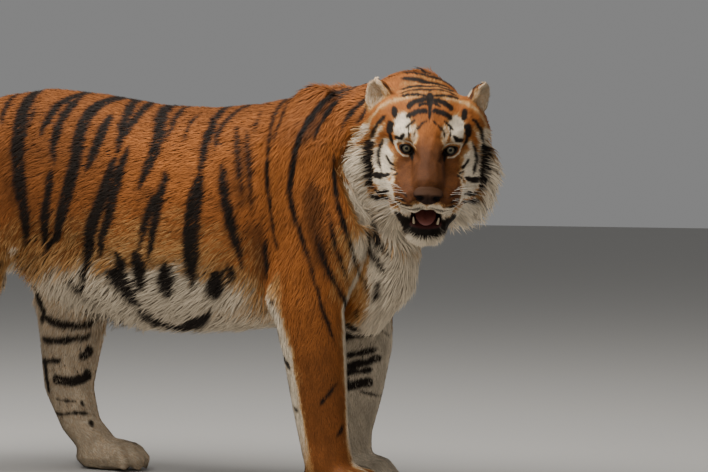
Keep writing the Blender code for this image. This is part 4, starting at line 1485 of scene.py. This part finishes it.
nose = ball("nose_leather", 128, 96)
shape = pointsOf(nose.data) * nosePlan["radii"] + nosePlan["centre"]
y, z = np.abs(shape[:, 1]), shape[:, 2]
half = np.interp(-z, *(np.array(nosePlan["outline"]).T / 1000))
sunk = ramp(y - half, -0.001, 0.005) + 0.8 * ramp(z + 0.005 * (y / 0.03) ** 2, -0.0575, -0.0485)
hole = nostril(y, z, *nosePlan["hole"], 0.20)
slit = nostril(y, z, *nosePlan["slit"], 0)
pit = np.maximum(fade(hole, 0.55, 1.15), 0.7 * fade(slit, 0.5, 1.2))
shape[:, 0] -= nosePlan["edge"] * np.clip(sunk, 0, 1)
shape[:, 0] -= nosePlan["deep"] * pit
shape[:, 0] += nosePlan["rim"] * np.exp(-((hole - 1.45) / 0.35) ** 2)
shape[:, 0] -= nosePlan["groove"] * np.exp(-(y / 0.0014) ** 2) * ramp(-z, 0.058, 0.072)
giveValues(nose.data, {"pit": np.maximum(pit, ramp(-z, 0.074, 0.088) * 0.5), "low": ramp(-z, 0.050, 0.068)})
movePoints(nose.data, fromHead(shape))
noseMaterial, surface, wire = newMaterial("nose", nosePlan["look"])
colour = wire.blend(wire.value("low"), nosePlan["top"], nosePlan["low"])
wire.blend(wire.value("pit"), colour, nosePlan["pit"]).join(surface)
roughen(wire, surface, "ShaderNodeTexVoronoi", nosePlan["cells"], nosePlan["bump"], {"invert": True})
finish(nose, noseMaterial, "nose_skin", "nose")


# tongue and lower canines

tonguePlan = {
    "radii": (0.036, 0.0235, 0.0085),
    "centre": (0.048, 0, -0.1325),
    "groove": (0.30, 0.16),  # depth and width, in radii
    "cupped": 0.003,  # how far the sides rise
    "droop": (0.040, 0.32),  # from where the tip hangs, and how steeply
    "look": {"Base Color": (0.22, 0.070, 0.058, 1), "Roughness": 0.45},
    "cells": {"Scale": 700.0},
    "bump": {"Strength": 0.5, "Distance": 0.0006},
}
toothPlan = {
    "root": (0.079, 0.0255, -0.1465),
    "tip": (0.007, 0.0025, 0.0205),  # from the root
    "curve": 0.004,
    "radius": 0.0036,
    "flat": 0.8,
    "look": {"Base Color": (0.42, 0.34, 0.22, 1), "Roughness": 0.35},
}

tongue = ball("tongue_soft", 64, 48)
shape = pointsOf(tongue.data)
groove, width = tonguePlan["groove"]
groove = groove * np.exp(-(shape[:, 1] / width) ** 2) * (shape[:, 2] > 0) * fade(shape[:, 0], 0.4, 0.9)
shape[:, 2] -= groove * shape[:, 2]
shape = shape * tonguePlan["radii"]
shape[:, 2] += tonguePlan["cupped"] * (shape[:, 1] / 0.02) ** 2
shape += tonguePlan["centre"]
hangs, steep = tonguePlan["droop"]
shape[:, 2] -= steep * np.maximum(shape[:, 0] - hangs, 0)
movePoints(tongue.data, fromHead(shape))
tongueMaterial, surface, wire = newMaterial("tongue", tonguePlan["look"])
roughen(wire, surface, "ShaderNodeTexVoronoi", tonguePlan["cells"], tonguePlan["bump"], {})
finish(tongue, tongueMaterial, "tongue", "tongue")

toothMaterial, surface, wire = newMaterial("tooth", toothPlan["look"])
for name, side in sides.items():
    tooth = ball(f"tooth_{name}", 32, 32)
    shape = pointsOf(tooth.data)
    share = (shape[:, 0] + 1) / 2  # 0 at the root, 1 at the tip
    radius = toothPlan["radius"] * np.sqrt(np.clip(1 - share ** 1.6, 0, 1) * np.clip(share * 14, 0, 1))
    spread = unit(shape[:, 1:]) * radius[:, None] * (1, toothPlan["flat"])
    shape = toothPlan["root"] + share[:, None] * toothPlan["tip"]
    shape[:, 0] += toothPlan["curve"] * share ** 2 + spread[:, 0]
    shape[:, 1] = side * shape[:, 1] + spread[:, 1]
    movePoints(tooth.data, fromHead(shape))
    finish(tooth, toothMaterial, "tooth", f"canine_{name}")
print("eyes, nose and mouth made")


# whiskers

whiskerPlan = {
    "rows": 4,
    "each": 5,
    "length": 0.105,
    "radius": 0.00036,
    "taper": 0.85,
    "steps": 7,
    "look": {"Base Color": (0.75, 0.68, 0.58, 1), "Roughness": 0.35},
}


def whiskerLines():
    rng = np.random.default_rng(5)
    steps = np.linspace(0, 1, whiskerPlan["steps"])[:, None]
    lines = []
    shares = np.linspace(0, 1, whiskerPlan["each"])  # from the nose back
    for side, row, share in itertools.product(sides.values(), range(whiskerPlan["rows"]), shares):
        start = np.array((0.112 - 0.034 * share, 0.046 + 0.018 * share, 0.006 * share - 0.066))
        start = start * (1, side, 1) - np.array((0.003, 0, 0.011)) * row
        way = unit(np.array((-0.10 - 0.75 * share, side, 0.10 - 0.22 * row)) + rng.normal(0, 0.08, 3))
        bend = np.array((-0.35, 0, -0.40 - 0.1 * row))
        reach = whiskerPlan["length"] * (0.45 + 0.55 * share) * rng.uniform(0.8, 1.1)
        line = (way * steps + bend * steps ** 2 * 0.5) * reach
        lines.append(nearestOn(fromHead(start)) + line @ headAxes.T)
    return lines


def tubes(name, lines, radii):  # cylinders cut across, then bent along the lines
    shape = bmesh.new()
    for line in lines:
        along = unit(np.gradient(line, axis=0))
        across = unit(np.cross(along, (0.1, 0.2, 1)))
        over = np.cross(along, across)
        before = len(shape.verts)
        rod = bmesh.ops.create_cone(shape, cap_ends=True, segments=4, radius1=1, radius2=1, depth=1)
        edges = [edge for vert in rod["verts"] for edge in vert.link_edges if edge.verts[0] == vert]
        lengthwise = [edge for edge in edges if edge.calc_length() < 1.01]
        bmesh.ops.subdivide_edges(shape, edges=lengthwise, cuts=len(line) - 2, use_grid_fill=True)
        shape.verts.ensure_lookup_table()
        for vert in shape.verts[before:]:
            step = round((vert.co.z + 0.5) * (len(line) - 1))
            vert.co = line[step] + radii[step] * (across[step] * vert.co.x + over[step] * vert.co.y)
    bmesh.ops.recalc_face_normals(shape, faces=shape.faces)
    piece = made(shape, name)
    piece.data.shade_smooth()
    return piece


whiskerMaterial, surface, wire = newMaterial("whisker", whiskerPlan["look"])
radii = whiskerPlan["radius"] * np.linspace(1, 1 - whiskerPlan["taper"], whiskerPlan["steps"])
finish(tubes("whiskers", whiskerLines(), radii), whiskerMaterial, "coat")


# the set: floor, light and camera

floorLook = {"Base Color": (0.42, 0.41, 0.39, 1), "Roughness": 0.8}
lampPlans = {  # place, target, size, power, colour
    "sky": ((-0.3, -1.2, 4.0), (0.2, 0.0, 0.5), 3.0, 285, (1.0, 0.97, 0.93)),
    "front": ((2.4, -4.4, 2.8), (0.4, 0.0, 0.6), 2.5, 40, (1.0, 0.97, 0.93)),
    "side": ((-3.2, -3.0, 2.4), (-0.1, 0.0, 0.5), 2.5, 16, (1.0, 1.0, 1.0)),
}
worldPlan = {"Color": (0.86, 0.86, 0.86, 1), "Strength": 0.27}
cameraPlan = {
    "target": (0.2124, 0.0135, 0),
    "azimuth": 27,
    "along": 0.393,
    "away": 6.29,
    "height": 0.78,
    "down": 1.835,  # degrees
    "sensor": 36,
    "lens": 136.5,
}


def stageFloor():
    shape = bmesh.new()
    bmesh.ops.create_grid(shape, x_segments=1, y_segments=1, size=20)
    floor = made(shape, "floor")
    floor.data.materials.append(newMaterial("floor", floorLook)[0])


def stageLamp(name, place, target, size, power, colour):
    light = bpy.data.lights.new(name, "AREA")
    light.shape = "SQUARE"
    light.size = size
    light.energy = power
    light.color = colour
    lamp = bpy.data.objects.new(name, light)
    bpy.context.scene.collection.objects.link(lamp)
    lamp.location = place
    lamp.rotation_mode = "QUATERNION"
    lamp.rotation_quaternion = (Vector(target) - Vector(place)).to_track_quat("-Z", "Y")


def placeCamera():
    turn = math.radians(cameraPlan["azimuth"])
    right = Vector((math.cos(turn), math.sin(turn), 0))
    ahead = Vector((-math.sin(turn), math.cos(turn), 0))
    lens = bpy.data.cameras.new("camera")
    lens.sensor_width = cameraPlan["sensor"]
    lens.lens = cameraPlan["lens"]
    lens.clip_end = 100
    camera = bpy.data.objects.new("camera", lens)
    bpy.context.scene.collection.objects.link(camera)
    camera.location = Vector(cameraPlan["target"]) + right * cameraPlan["along"]
    camera.location -= ahead * cameraPlan["away"]
    camera.location.z += cameraPlan["height"]
    ahead.z = -math.tan(math.radians(cameraPlan["down"]))
    camera.rotation_mode = "QUATERNION"
    camera.rotation_quaternion = ahead.to_track_quat("-Z", "Y")
    bpy.context.scene.camera = camera


stageFloor()
for name, plan in lampPlans.items():
    stageLamp(name, *plan)
world = bpy.data.worlds.new("studio")
bpy.context.scene.world = world
world.use_nodes = True
for socket, value in worldPlan.items():
    world.node_tree.nodes["Background"].inputs[socket].default_value = value
placeCamera()
print("set and camera placed")
